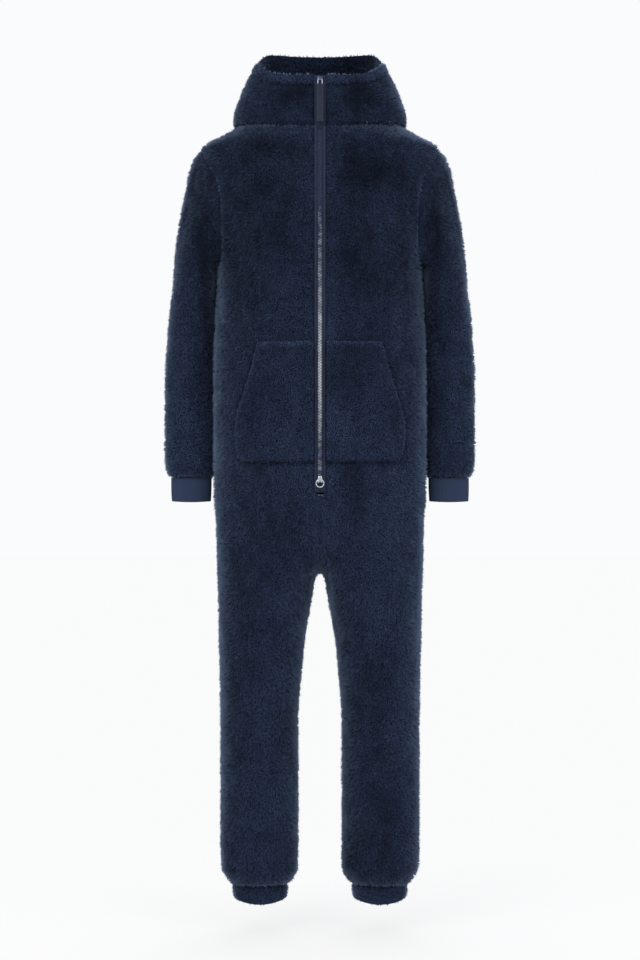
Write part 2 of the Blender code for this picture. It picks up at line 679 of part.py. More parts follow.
def make_pockets(shaped):
    """Patches made from the front panels' own points, moved out."""
    z = body_rows()
    rows = np.flatnonzero((z < POCKET[0].z) & (z > POCKET[-1].z))
    heights = [POCKET[0].z] + list(z[rows]) + [POCKET[-1].z]
    for side, hand in ((1, "left"), (-1, "right")):
        outer, normals = shaped["front", side]
        grid, out = [], []
        for height in heights:
            below = int(np.searchsorted(-z, -height))
            t = (z[below - 1] - height) / (z[below - 1] - z[below])
            line = outer[below - 1] * (1 - t) + outer[below] * t
            line_normals = normals[below - 1] * (1 - t) + normals[below] * t
            edge = column(POCKET, "outer", np.array([height]))[0]
            shared = line[1:POCKET_SHARED, 0]
            rest = np.linspace(shared[-1], edge, POCKET_COLUMNS + 1)[1:]
            for x in line[POCKET_SHARED:, 0]:
                if x < edge - 3:
                    rest[np.argmin(np.abs(rest[:-1] - x))] = x
            across = np.concatenate([[ZIP_HALF_WIDTH + 1.0], shared, rest])
            grid.append([[np.interp(x, line[:, 0], line[:, k]) for k in range(3)] for x in across])
            out.append([[np.interp(x, line[:, 0], line_normals[:, k]) for k in range(3)] for x in across])
        grid, out = np.array(grid), unit(np.array(out))
        towards_hand = smooth_step(np.linspace(0, 1, grid.shape[1]), 0.45, 1.0)[None, :]
        sewn_ends = 0.35 + 0.65 * np.sin(np.linspace(0, np.pi, grid.shape[0]))[:, None]
        inner = grid + out * (POCKET_GAP + OPENING_LIFT * towards_hand * sewn_ends)[..., None]
        wall(f"pocket_{hand}", mirrored(inner + out * POCKET_WALL, side), mirrored(inner, side), "fleece")


# ---------------------------------------------------------------- zip

def centre_line(shaped, hood):
    """The front's centre line, from the hood's rim down to the end of the zip: (z, y)."""
    body = shaped["front", 1][0][:, 0]
    body = body[body[:, 2] > ZIP_CLOSED_Z - 1]
    line = np.concatenate([hood[::-1, 0], body])
    order = np.argsort(line[:, 2])
    return line[order, 2], line[order, 1]


def strip(name, line, top, bottom, inner_x, outer_x, depth_front, depth_back, kind):
    """A flat strip down the centre line, between two x and two depths behind the pile's tips."""
    heights, depths = line
    inside = [z for z in heights if bottom + 6 < z < top - 6]
    z = np.array([top] + inside[::-1] + [bottom])
    y = np.interp(z, heights, depths)
    grid = {}
    for depth in (depth_front, depth_back):
        grid[depth] = np.stack([np.stack([np.full_like(z, x), y + depth, z], axis=-1)
                                for x in (inner_x, outer_x)], axis=1)
    return wall(name, grid[depth_front], grid[depth_back], kind)


def joined(name, parts, kind):
    """Several shapes made one body with Boolean unions."""
    base = parts[0]
    for other in parts[1:]:
        union = base.modifiers.new("union", "BOOLEAN")
        union.operation = "UNION"
        union.object = other
        bpy.context.view_layer.update()
        graph = bpy.context.evaluated_depsgraph_get()
        mesh = bpy.data.meshes.new_from_object(base.evaluated_get(graph))
        base.modifiers.clear()
        base.data = mesh
        bpy.data.objects.remove(other)
    base.name = name
    return finish_object(base, kind)


def block(size, place, bevel):
    """A box with rounded edges; size and place in millimetres."""
    bpy.ops.mesh.primitive_cube_add(size=1.0)
    obj = bpy.context.object
    shape = bmesh.new()
    shape.from_mesh(obj.data)
    bmesh.ops.scale(shape, vec=[part * MM for part in size], verts=shape.verts)
    bmesh.ops.translate(shape, vec=[part * MM for part in place], verts=shape.verts)
    bmesh.ops.bevel(shape, geom=shape.edges[:], offset=bevel * MM, segments=2, profile=0.5,
                    affect="EDGES")
    shape.to_mesh(obj.data)
    shape.free()
    return obj


def wire_loop(outline, radius, closed=True, sides=8):
    """A round wire along the outline, in millimetres, as a closed mesh."""
    outline = np.array(outline, float)
    count = len(outline)
    shape = bmesh.new()
    rings = []
    for i, point in enumerate(outline):
        ahead = outline[(i + 1) % count] if closed else outline[min(i + 1, count - 1)]
        behind = outline[i - 1] if closed or i > 0 else outline[0]
        along = unit(ahead - behind)
        flat = np.array([1.0, 0, 0]) if np.ptp(outline[:, 0]) < 1e-6 else np.array([0, 1.0, 0])
        other = unit(np.cross(along, flat))
        rings.append([shape.verts.new((point + radius * (np.cos(a) * flat + np.sin(a) * other)) * MM)
                      for a in 2 * np.pi * np.arange(sides) / sides])
    for i in range(count if closed else count - 1):
        for k in range(sides):
            first, second = rings[i], rings[(i + 1) % count]
            shape.faces.new([first[k], first[(k + 1) % sides], second[(k + 1) % sides], second[k]])
    if not closed:
        shape.faces.new(rings[0])
        shape.faces.new(rings[-1])
    bmesh.ops.recalc_face_normals(shape, faces=shape.faces)
    if shape.calc_volume(signed=True) < 0:
        bmesh.ops.reverse_faces(shape, faces=shape.faces)
    mesh = bpy.data.meshes.new("wire")
    shape.to_mesh(mesh)
    shape.free()
    obj = bpy.data.objects.new("wire", mesh)
    bpy.context.scene.collection.objects.link(obj)
    return obj


def slider_places(line, z):
    """y of the slider's back face, its front face and the joint axis, at height z."""
    surface = np.interp([z - SLIDER_LENGTH / 2, z, z + SLIDER_LENGTH / 2], *line).min()
    back = surface + TAPE_RECESS - SEAM_GAP
    front = back - SLIDER_HEIGHT
    return back, front, front - BRIDGE_REACH / 2


def make_slider(name, line, z):
    back, front, axis_y = slider_places(line, z)
    body = block((SLIDER_WIDTH, SLIDER_HEIGHT, SLIDER_LENGTH), (0, (back + front) / 2, z), 1.2)
    turns = np.linspace(0, np.pi, 9)
    arch = [(0, axis_y + BRIDGE_REACH / 2 + 0.8, z - 4.2)]
    arch += [(0, axis_y + BRIDGE_REACH / 2 - (BRIDGE_REACH - 0.6) * np.sin(turn), z - 4.2 * np.cos(turn))
             for turn in turns]
    arch += [(0, axis_y + BRIDGE_REACH / 2 + 0.8, z + 4.2)]
    bridge = wire_loop(arch, BRIDGE_WIRE, closed=False)
    return joined(name, [body, bridge], "metal"), axis_y


def put_origin(obj, place):
    """Moves the object's origin to a joint's axis and leaves its shape in place."""
    shift = [part * MM for part in place]
    shape = bmesh.new()
    shape.from_mesh(obj.data)
    bmesh.ops.translate(shape, vec=[-part for part in shift], verts=shape.verts)
    shape.to_mesh(obj.data)
    shape.free()
    obj.location = shift


def make_upper_pull(axis_y, z):
    """A wire link through the slider's bridge, and a stitched fabric tab on it."""
    half = LINK_WIDTH / 2
    corner = 2.2
    outline = []
    for middle_x, middle_z, first in ((half - corner, -corner, 0), (-half + corner, -corner, 90),
                                      (-half + corner, corner - LINK_LENGTH, 180),
                                      (half - corner, corner - LINK_LENGTH, 270)):
        for turn in np.radians(np.linspace(first, first + 90, 4)):
            outline.append((middle_x + corner * np.cos(turn), axis_y,
                            z + middle_z + corner * np.sin(turn)))
    link = wire_loop(outline, LINK_WIRE)
    tab = block((TAB_WIDTH, TAB_WALL, TAB_LENGTH), (0, axis_y, z - LINK_LENGTH + 3.0 - TAB_LENGTH / 2), 0.9)
    pull = joined("pull_upper", [tab, link], "tape")
    put_origin(pull, (0, axis_y, z))


def make_lower_pull(axis_y, z):
    """A round ring through the slider's bridge."""
    turns = 2 * np.pi * np.arange(28) / 28
    ring = [(RING_RADIUS * np.sin(turn), axis_y, z - RING_RADIUS + RING_RADIUS * np.cos(turn))
            for turn in turns]
    pull = wire_loop(ring, RING_WIRE)
    pull.name = "pull_lower"
    finish_object(pull, "metal")
    put_origin(pull, (0, axis_y, z))


def make_zip(shaped, hood):
    line = centre_line(shaped, hood)
    top = float(hood[-1, 0, 2]) - RIM_BELOW_TOP
    for side, hand in ((1, "left"), (-1, "right")):
        strip(f"zip_tape_{hand}", line, top, ZIP_END_Z + SEAM_GAP, side * SEAM_GAP / 2,
              side * (ZIP_HALF_WIDTH - SEAM_GAP), TAPE_RECESS, TAPE_RECESS + TAPE_WALL, "tape")
    chain_top = UPPER_SLIDER_Z - SLIDER_LENGTH / 2 - SEAM_GAP
    chain_bottom = LOWER_SLIDER_Z + SLIDER_LENGTH / 2 + SEAM_GAP
    strip("zip_chain", line, chain_top, chain_bottom, -CHAIN_HALF_WIDTH, CHAIN_HALF_WIDTH,
          -CHAIN_PROUD, TAPE_RECESS - SEAM_GAP, "metal")
    _, axis_y = make_slider("slider_upper", line, UPPER_SLIDER_Z)
    make_upper_pull(axis_y, UPPER_SLIDER_Z)
    _, axis_y = make_slider("slider_lower", line, LOWER_SLIDER_Z)
    make_lower_pull(axis_y, LOWER_SLIDER_Z)


def main():
    for obj in list(bpy.data.objects):
        bpy.data.objects.remove(obj)
    bpy.context.scene.collection.children.link(bpy.data.collections.new("onesie_pajama"))
    grids, shaped = make_body()
    make_sleeves(grids)
    make_cuffs()
    hood = make_hood(grids)
    make_pockets(shaped)
    make_zip(shaped, hood)


main()
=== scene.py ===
"""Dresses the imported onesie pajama: teddy-fleece panels with real pile, a turned hood hem, knit
wrist cuffs, patch pockets, a metal two-way zip with its sliders and pulls, and the stitching.

Sizes are in millimetres and become metres where a mesh is made. The wearer's left is +X, the
front faces -Y and +Z is up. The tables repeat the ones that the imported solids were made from, so
each visible piece lies where its solid is; the grids here are finer and carry the small folds.
"""

import json
from collections import namedtuple

import bmesh
import bpy
import mathutils
import numpy as np
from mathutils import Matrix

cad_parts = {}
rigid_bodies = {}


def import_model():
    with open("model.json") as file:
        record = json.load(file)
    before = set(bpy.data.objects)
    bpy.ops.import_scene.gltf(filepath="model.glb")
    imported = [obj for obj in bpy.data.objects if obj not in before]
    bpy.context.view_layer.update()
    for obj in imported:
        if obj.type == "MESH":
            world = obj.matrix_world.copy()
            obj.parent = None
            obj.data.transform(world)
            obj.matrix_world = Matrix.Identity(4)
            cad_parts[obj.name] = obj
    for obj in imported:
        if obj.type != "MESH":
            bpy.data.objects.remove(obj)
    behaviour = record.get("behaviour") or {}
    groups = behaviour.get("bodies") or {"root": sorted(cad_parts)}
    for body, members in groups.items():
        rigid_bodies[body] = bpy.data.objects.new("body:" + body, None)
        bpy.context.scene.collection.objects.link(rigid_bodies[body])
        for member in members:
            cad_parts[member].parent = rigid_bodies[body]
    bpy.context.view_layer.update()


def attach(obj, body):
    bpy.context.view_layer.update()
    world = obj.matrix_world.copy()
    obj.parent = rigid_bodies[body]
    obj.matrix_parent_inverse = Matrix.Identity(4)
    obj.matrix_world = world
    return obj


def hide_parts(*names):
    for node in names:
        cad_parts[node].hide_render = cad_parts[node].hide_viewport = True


MM = 0.001
RNG = np.random.default_rng(8)
HANDS = {1: "left", -1: "right"}
FACES = {-1: "front", 1: "back"}
ALL_EDGES = ("top", "bottom", "first", "last")
DOWN = np.array([0, 0, -1.0])
LEVEL = np.array([1, 1, 0.0])

# Cloth
FLEECE_WALL = 6.0  # base cloth and pile together
BACKING_DEPTH = 3.0  # from the tips of the pile down to the base cloth
EDGE_ROLL = 1.6  # how far the cloth dips into a seam
EDGE_REACH = 7.0  # width of that dip
SEAM_GAP = 0.3
ARMHOLE_GAP = 0.45
POCKET_WALL = 5.0
POCKET_GAP = 0.95
OPENING_LIFT = 2.6
HEM = 19.0  # depth of the hood's turned hem
SHOULDER_LIFT = 6.0  # fullness of the sleeve head over the shoulder
GRID_STEP = 8.0  # size of the cloth's mesh
ANKLE_STEP = 5.0
WRIST_STEP = 6.0
RIBS = 84  # round a wrist cuff
RIB_HEIGHT = 0.35
KNIT_WALL = 3.0

# Pile
PILE_SPACING = 3.2
PILE_LENGTH = 8.0
TUFT_WIDTH = 1.5
LOCK_SIZE = 9
SWIRL_SIZE = 26

# Body
COLUMNS = 34  # steps across a quarter of the torso or half of a leg
SHARES = np.linspace(0, 1, COLUMNS + 1)
ROUNDNESS = 2.3
LEG_ROUNDNESS = 2.1
NECK_Z = -9.0
CROTCH_Z = -891.0
CROTCH_RISE = 135.0
TIP_Z = -58.0
UNDERARM_Z = -300.0
ANKLE_Z = -1509.0
ANKLE_BOTTOM_Z = -1545.0
CUFF_BOTTOM_Z = -753.0
NECK_HALF = (157.0, 108.0)  # half width and depth of the neck
SEAM_Y = 5.0  # where the side seams lie in depth
UNCUT = 999  # an armhole's place in a row that it doesn't reach
FAR = 9999.0

# Zip
ZIP_HALF_WIDTH = 11.5
ZIP_END_Z = -738.0
ZIP_CLOSED_Z = -756.0
TAPE_RECESS = 2.6
RIM_BELOW_TOP = 1.5
SLIDER_LENGTH = 13.0
SLIDER_HEIGHT = 4.6
BRIDGE_REACH = 6.8
BRIDGE_HALF = 4.2
BRIDGE_WIRE = 1.2
UPPER_SLIDER_Z = 67.0
LOWER_SLIDER_Z = -708.0
LINK_WIRE = 0.8
LINK_WIDTH = 8.4
LINK_LENGTH = 11.0
LINK_CORNER = 2.2
TAB_WIDTH = 14.0
TAB_LENGTH = 74.0
TAB_WALL = 2.4
RING_RADIUS = 7.4
RING_WIRE = 1.1
TOOTH_PITCH = 3.0  # between teeth of one side
TOOTH = (4.7, 2.5, 1.35)  # across, deep, high
STITCHES_X = 8.6


def table(columns, rows):
    """Rows of numbers with named columns."""
    row_type = namedtuple("Row", columns)
    return [row_type(*row) for row in rows]


# Torso sections. z: height at the side. rise_*: how much higher the centre of the section lies.
# half_width, front and back: the section's half width and its depths from the side seam.
# arm_front, arm_back: where the armhole cuts it.
TORSO = table("z rise_front rise_back half_width front back arm_front arm_back", [
    (-9, -10, 14, 157, 108, 108, 999, 999),
    (-31, 2, 16, 192, 117, 122, 999, 999),
    (-58, 12, 16, 236, 126, 134, 236, 236),
    (-84, 6, 10, 240, 133, 143, 226, 228),
    (-103, 2, 4, 241, 137, 147, 216, 220),
    (-130, 0, 0, 240, 141, 151, 201, 209),
    (-170, 0, 0, 234, 145, 153, 196, 203),
    (-210, 0, 0, 225, 148, 153, 194, 200),
    (-250, 0, 0, 212, 149, 151, 194, 198),
    (-282, 0, 0, 202, 148, 149, 196, 197),
    (-300, 0, 0, 199, 147, 148, 199, 199),
    (-380, 0, 0, 202, 144, 144, 999, 999),
    (-460, 0, 0, 205, 143, 143, 999, 999),
    (-600, 0, 0, 206, 147, 149, 999, 999),
    (-750, 0, 0, 205, 145, 158, 999, 999),
    (-850, 0, 0, 203, 138, 158, 999, 999),
    (-891, 0, 0, 202, 130, 150, 999, 999),
    (-1600, 0, 0, 202, 130, 150, 999, 999),
])

# Leg sections: inner and outer edge, depths from the seams, and where the seams lie in depth.
LEG = table("z inner outer front back seam_y", [
    (0, 0, 202, 128, 146, 5),
    (-891, 0, 202, 126, 146, 5),
    (-897, 7, 202, 125, 145, 5),
    (-911, 11, 201, 123, 142, 5),
    (-946, 17, 200, 119, 137, 5),
    (-1018, 29, 199, 111, 126, 5),
    (-1089, 37, 197, 104, 116, 6),
    (-1184, 43.5, 196, 97, 105, 8),
    (-1300, 43.5, 196, 88, 97, 11),
    (-1430, 43.5, 196, 80, 88, 14),
    (-1478, 44, 194, 77, 83, 15),
    (-1495, 51, 186, 68, 73, 15),
    (-1505, 59, 179, 58, 62, 15),
    (-1509, 62, 175, 53, 57, 15),
])

# Sleeve sections below the armhole: inner and outer edge, depths from the middle, and the middle.
SLEEVE = table("z inner outer front back middle_y", [
    (-330, 207, 291, 80, 80, 22),
    (-376, 208, 298, 72, 72, 27),
    (-447, 209, 304, 62, 62, 32),
    (-543, 209.5, 308, 54, 54, 32),
    (-650, 209.5, 308, 48, 48, 24),
    (-684, 210, 306, 45, 46, 20),
    (-697, 211, 302, 37, 38, 19),
    (-705, 214, 297, 27, 27, 19),
])
SLEEVE_HEIGHTS = (-353, -390, -440, -500, -565, -625, -665, -684, -697, -705)
SLEEVE_ROUNDNESS = 2.1
SLEEVE_STEPS = 6  # rings between the armhole and the first section
SLEEVE_PULL = 0.6  # how far the sleeve keeps the armhole's direction, as a share of its span
SHOULDER_PULL = 0.35  # how much further it does so over the shoulder

# Hood rings from the crease against the body, round the fold, to the rim: half width, where the
# front and the back lie, their heights, and how flat the ring runs before it turns to the side.
HOOD = table("half_width front_y back_y front_z side_z back_z flat_front flat_back", [
    (161, -103.6, 131, -15.5, -11.5, -17, 2, 2),
    (165, -104, 147, -12, -13, -62, 2, 2),
    (170, -105, 178, -3, -8, -120, 2, 2),
    (169.5, -106, 222, 16, 14, -72, 2, 2),
    (152, -106, 214, 46, 62, 30, 2.6, 3),
    (128, -105, 116, 78, 114, 149, 4, 10),
])
SLEEVE_CLEARANCE = 2.2  # between the body and the sleeve beside it
HOOD_CLEARANCE = 4.0  # between the body and the hood that hangs on it
HOOD_STEPS = 2  # rows between two hood rings

# Pocket sections: how far the pocket reaches sideways at each height.
POCKET = table("z outer", [
    (-441, 119),
    (-462, 124),
    (-495, 133),
    (-530, 143),
    (-560, 153),
    (-585, 160),
    (-612, 163),
    (-640, 162),
    (-660, 158),
    (-676, 150),
])

# Soft spots on one part of one side: where the middle lies, the size, and how far the spot leans
# from upright, in degrees. On a sleeve's folds across and width are shares of the way round it.
SPOT = "across z width length tilt amount"
# The largest folds: ridges (+) and troughs (-).
FOLDS = {
    ("front", 1): [
        (118, -150, 60, 150, 42, -4.0),
        (140, -205, 44, 130, 55, 3.5),
        (165, -760, 46, 230, 4, -4.0),
        (60, -800, 50, 130, 40, -3.0),
        (118, -1270, 44, 380, 2, -5.0),
        (82, -1290, 36, 300, 3, 3.5),
    ],
    ("front", -1): [
        (128, -165, 60, 150, 38, -4.0),
        (163, -745, 46, 250, -4, -4.5),
        (62, -795, 50, 120, 38, -3.0),
        (115, -1010, 110, 40, 0, -3.5),
        (120, -1045, 120, 36, 4, 3.0),
        (125, -1300, 50, 330, -3, -3.5),
    ],
    ("back", 1): [
        (120, -200, 60, 190, 30, -4.0),
        (95, -470, 170, 60, 12, -4.5),
        (95, -545, 150, 50, 6, 3.5),
        (110, -905, 120, 70, 28, -5.0),
        (120, -1215, 120, 60, 14, -5.0),
    ],
    ("back", -1): [
        (122, -215, 60, 170, 33, -4.0),
        (90, -500, 160, 56, 9, -4.0),
        (112, -915, 120, 70, 30, -5.0),
        (118, -1230, 110, 56, 10, -4.5),
        (120, -1165, 110, 50, 8, 3.5),
    ],
    ("sleeve", 1): [
        (0.30, -430, 0.16, 110, 0, -4.0),
        (0.74, -500, 0.30, 55, 0, -4.5),
        (0.10, -610, 0.14, 130, 0, -3.0),
    ],
    ("sleeve", -1): [
        (0.28, -400, 0.14, 170, 0, -5.0),
        (0.75, -470, 0.30, 60, 0, -4.5),
    ],
}
# Nap and painted light: spots where the pile is brighter (+) or darker (-). They hold painted shade
# in folds and beside the armholes, painted highlights on ridges and the shoulders, painted sheen
# along
# the outer edges of the legs and sleeves, and brighter bands beside the zip.
NAP_AND_PAINTED_LIGHT = {
    ("front", 1): [
        (26, -440, 26, 520, 0, 0.5),
        (60, -25, 130, 42, -6, 0.7),
        (120, -168, 90, 60, 35, 0.45),
        (95, -110, 70, 80, -20, -0.3),
        (110, -270, 90, 130, 0, -0.4),
        (165, -290, 26, 330, 3, -0.4),
        (70, -700, 60, 200, 0, -0.3),
        (196, -900, 40, 620, 1, 0.7),
        (120, -1290, 40, 400, 2, -0.35),
        (165, -1250, 40, 420, 2, 0.4),
        (145, -1080, 100, 420, 0, 0.4),
    ],
    ("front", -1): [
        (26, -600, 22, 260, 0, 0.45),
        (70, -25, 150, 44, 8, 0.7),
        (100, -62, 190, 30, 12, -0.5),
        (120, -230, 120, 260, 4, -0.3),
        (165, -330, 24, 280, -3, -0.3),
        (60, -720, 50, 180, 0, -0.3),
        (200, -1150, 38, 640, -2, 0.9),
        (100, -1130, 90, 300, 0, 0.3),
        (140, -960, 90, 70, 0, -0.3),
    ],
    ("back", 1): [
        (80, -60, 160, 60, 6, 0.5),
        (110, -330, 100, 260, 5, -0.35),
        (90, -700, 120, 180, 0, 0.35),
        (130, -1280, 44, 380, 2, -0.45),
    ],
    ("back", -1): [
        (90, -70, 150, 60, -8, 0.5),
        (100, -360, 110, 240, -4, -0.35),
        (95, -720, 120, 170, 0, 0.3),
        (126, -1250, 46, 360, -2, -0.4),
    ],
    ("sleeve", 1): [
        (222, -270, 40, 460, -2, -0.55),
        (285, -420, 50, 440, -3, 0.75),
        (235, -75, 70, 50, -40, 0.4),
    ],
    ("sleeve", -1): [
        (222, -270, 42, 460, -2, -0.75),
        (240, -200, 24, 260, -6, -0.5),
        (285, -470, 50, 460, -3, 0.85),
        (235, -75, 70, 50, -40, 0.4),
    ],
    ("hood", 1): [
        (80, 40, 90, 50, 10, -0.7),
        (20, 55, 30, 60, 0, 0.3),
    ],
    ("hood", -1): [
        (50, 42, 74, 50, -10, -0.9),
        (115, 30, 50, 90, 20, 0.1),
    ],
}

# ---------------------------------------------------------------- curves

def hermite(t, start, end, leaving, arriving):
    """The cubic from start (t = 0) to end (t = 1) with these slopes at its ends."""
    return ((1 + 2 * t) * (1 - t) ** 2 * start + t * (1 - t) ** 2 * leaving
            + t * t * (3 - 2 * t) * end + t * t * (t - 1) * arriving)


def curve_through(keys, values, at):
    """A smooth curve through the values that never overshoots them (monotone cubic)."""
    keys, values, at = (np.asarray(part, float) for part in (keys, values, at))
    order = np.argsort(keys)
    keys, values = keys[order], values[order]
    gaps = np.diff(keys)
    slopes = np.diff(values) / gaps
    tangents = np.concatenate([slopes[:1], np.zeros(len(gaps) - 1), slopes[-1:]])
    for i, (before, after) in enumerate(zip(slopes, slopes[1:]), 1):
        if before * after > 0:
            tangents[i] = 2 * before * after / (before + after)
    at = np.clip(at, keys[0], keys[-1])
    i = np.clip(np.searchsorted(keys, at) - 1, 0, len(gaps) - 1)
    t = (at - keys[i]) / gaps[i]
    return hermite(t, values[i], values[i + 1], gaps[i] * tangents[i], gaps[i] * tangents[i + 1])


def column(rows, name, z):
    """One named column of a table, read at the heights z."""
    return curve_through([row.z for row in rows], [getattr(row, name) for row in rows], z)


def read_rows(at, keys, points):
    """Points read off at places between their keys."""
    return np.stack([np.interp(at, keys, points[:, k]) for k in range(3)], axis=-1)


def power(value, exponent):
    return np.sign(value) * np.abs(value) ** exponent


def smooth_step(value, low, high):
    t = np.clip((value - low) / (high - low), 0.0, 1.0)
    return t * t * (3 - 2 * t)


def unit(vectors):
    return vectors / np.maximum(np.linalg.norm(vectors, axis=-1, keepdims=True), 1e-9)


def circle(count):
    """Angles at that many even steps round."""
    return 2 * np.pi * np.arange(count) / count


def fade(count, first, last):
    """0 at both ends of a row and 1 over its middle, so that seams stay put."""
    share = np.linspace(0, 1, count)
    return smooth_step(share, 0, first) * smooth_step(1 - share, 0, last)


def fade_at_ends(count):
    return fade(count, 0.08, 0.05)[:, None]


def noise(points, size, seed):
    """Smooth noise from -1 to 1 at the points, with features of that size."""
    cell = np.asarray(points, float) / size
    base = np.floor(cell).astype(np.int64)
    part = cell - base
    part = part * part * (3 - 2 * part)
    total = np.zeros(cell.shape[:-1])
    for corner in range(8):
        step = np.array([corner & 1, corner >> 1 & 1, corner >> 2])
        key = ((base + step) * np.array([374761393, 668265263, 1442695041])).sum(axis=-1)
        key = (key + seed * 97531) & 0xFFFFFFFF
        key = ((key ^ (key >> 13)) * 1274126177) & 0xFFFFFFFF
        value = ((key ^ (key >> 16)) & 0xFFFF) / 32767.5 - 1
        total += value * np.prod(np.where(step, part, 1 - part), axis=-1)
    return total


def spot_sum(spots, part, side, across, z):
    """Sum of the soft spots of one part of one side, at the places (across, z)."""
    total = np.zeros_like(z)
    for spot in table(SPOT, spots.get((part, side), ())):
        lean = np.radians(spot.tilt)
        right, up = across - spot.across, z - spot.z
        right, up = (right * np.cos(lean) + up * np.sin(lean),
                     up * np.cos(lean) - right * np.sin(lean))
        total += spot.amount * np.exp(-(2 * right / spot.width) ** 2 - (2 * up / spot.length) ** 2)
    return total


# ---------------------------------------------------------------- body surface

def at_armhole(z):
    return (z <= TIP_Z) & (z >= UNDERARM_Z)


def at_side_seam(z):
    return (z >= TIP_Z) | (z <= UNDERARM_Z)


def zip_edge(z):
    """Half width of the opening for the zip at height z."""
    open_share = smooth_step(z, ZIP_CLOSED_Z, ZIP_END_Z)
    return SEAM_GAP / 2 + (ZIP_HALF_WIDTH - SEAM_GAP / 2) * open_share


def armhole_edge(face, z):
    """Where the armhole cuts the section, or a huge value where it doesn't."""
    name = f"arm_{FACES[face]}"
    edge = column([row for row in TORSO if getattr(row, name) < UNCUT], name, z)
    return np.where(at_armhole(z), edge, FAR)


def side_edge(z):
    """Where the side seam lies: the torso's half width, and the leg's outer edge below it."""
    return np.where(z >= CROTCH_Z, column(TORSO, "half_width", z), column(LEG, "outer", z))


def leg_edges(z):
    return column(LEG, "inner", z) + SEAM_GAP / 2, side_edge(z)


def torso_points(face, share, z):
    """Points of the torso's ring; share runs from the zip's edge (0) to the side or armhole (1)."""
    half = side_edge(z)
    inner = zip_edge(z) if face < 0 else np.full_like(z, SEAM_GAP / 2)
    first, last = (np.arcsin(np.clip(edge / half, 0, 1) ** (ROUNDNESS / 2))
                   for edge in (inner, armhole_edge(face, z)))
    angle = first + (np.pi / 2 - first) * share + (last - np.pi / 2) * share ** 2
    along = column(TORSO, FACES[face], z) * power(np.cos(angle), 2 / ROUNDNESS)
    return np.stack([
        half * power(np.sin(angle), 2 / ROUNDNESS),
        column(LEG, "seam_y", z) + face * along,
        z + column(TORSO, f"rise_{FACES[face]}", z) * np.cos(angle) ** 2,
    ], axis=-1)


def leg_points(face, share, z):
    """Points of a leg's half ring; share runs from the inseam (0) to the outseam (1)."""
    inner, outer = leg_edges(z)
    angle = np.pi * share
    across = (inner + outer) / 2 - (outer - inner) / 2 * power(np.cos(angle), 2 / LEG_ROUNDNESS)
    along = column(LEG, FACES[face], z) * power(np.sin(angle), 2 / LEG_ROUNDNESS)
    return np.stack([across, column(LEG, "seam_y", z) + face * along, z], axis=-1)


def depth_at(rows, roundness, face, share, z):
    """How far a section lies from its seams, at a share of the way from its middle to its edge."""
    shape = (1 - np.clip(share, 0, 1) ** roundness) ** (1 / roundness)
    return column(rows, FACES[face], z) * shape


def body_points(face, share, z):
    """The panel's surface: torso above, leg below, and a rounded division between them."""
    height = np.clip((z - CROTCH_Z) / CROTCH_RISE, 0, 1)
    soft = smooth_step(height, 0, 1)
    torso, leg = torso_points(face, share, z), leg_points(face, share, z)
    mixed = leg.copy()
    mixed[..., 0] += (torso - leg)[..., 0] * soft
    rounded = soft + (np.sqrt(1 - (1 - height) ** 2) - soft) * (1 - share) ** 3
    across, (inner, outer) = mixed[..., 0], leg_edges(z)
    deep = depth_at(TORSO, ROUNDNESS, face, across / side_edge(z), z)
    shallow = depth_at(LEG, LEG_ROUNDNESS, face,
                       np.abs(2 * across - inner - outer) / (outer - inner), z)
    mixed[..., 1] = column(LEG, "seam_y", z) + face * (shallow + (deep - shallow) * rounded)
    below = np.where((height > 0)[..., None], mixed, leg)
    return np.where((height < 1)[..., None], below, torso)


def body_rows():
    """Heights of the fine rows, from the neck to the ankle seam; seams keep their own heights."""
    def steps(high, low, size):
        return np.linspace(high, low, int(np.ceil((high - low) / size)) + 1)

    turns = np.linspace(0, np.pi / 2, 24)
    rise = [CROTCH_Z + CROTCH_RISE * (1 - np.cos(turn)) for turn in turns]
    marks = [NECK_Z, TIP_Z, UNDERARM_Z, rise[-1]]
    found = [z for high, low in zip(marks, marks[1:]) for z in steps(high, low, GRID_STEP)[:-1]]
    found += rise[::-1] + [-893.5, -897.0, -902.0, -908.0]
    for low, size in ((-1470.0, GRID_STEP), (ANKLE_Z, 4.0)):
        found += list(steps(found[-1], low, size)[1:])
    return np.array(found)


def grid_normals(points, flip=1.0):
    """Unit normals of a grid of points, one-sided at its edges."""
    return unit(np.cross(np.gradient(points, axis=0), np.gradient(points, axis=1)) * flip)


def ring_normals(points):
    """Unit normals of a grid whose columns run round."""
    return grid_normals(np.concatenate([points[:, -1:], points, points[:, :1]], axis=1))[:, 1:-1]


def join_normals(grids):
    """Gives the front and back panels common normals where they meet, and at the centre line."""
    z = body_rows()
    front, back = grids[-1][1], grids[1][1]
    side, inseam, arm = at_side_seam(z), z < CROTCH_Z - 0.5, at_armhole(z)
    for rows, edge in ((side, -1), (inseam, 0)):
        front[rows, edge] = back[rows, edge] = unit(front[rows, edge] + back[rows, edge])
    for normals in (front, back):
        normals[~inseam, 0, 0] = 0
        normals[:, 0] = unit(normals[:, 0])
    crotch, underarm = (int(np.argmin(np.abs(z - height))) for height in (CROTCH_Z, UNDERARM_Z))
    turned = np.array([0.15, 0, -1.0])
    for points, normals in grids.values():
        normals[crotch, 0] = DOWN
        # Towards the underarm and the nape the cloth turns into the crease between two pieces.
        turn = smooth_step(z[arm], -150.0, UNDERARM_Z)[:, None]
        normals[arm, -1] = unit((1 - turn) * normals[arm, -1] + turn * turned)
        turn = nape_turn(points[0])[:, None]
        normals[0] = unit((1 - turn) * normals[0] + turn * unit(points[1] - points[0]))
    front[underarm, -1] = back[underarm, -1] = unit(turned)


def nape_turn(seam):
    """How far the hood's seam turns down: not at the zip, half at the side, fully at the back."""
    angle = np.degrees(np.arctan2(seam[:, 0] / NECK_HALF[0], -(seam[:, 1] - SEAM_Y) / NECK_HALF[1]))
    return 0.75 * smooth_step(angle, 12, 100) + 0.2 * smooth_step(angle, 100, 150)


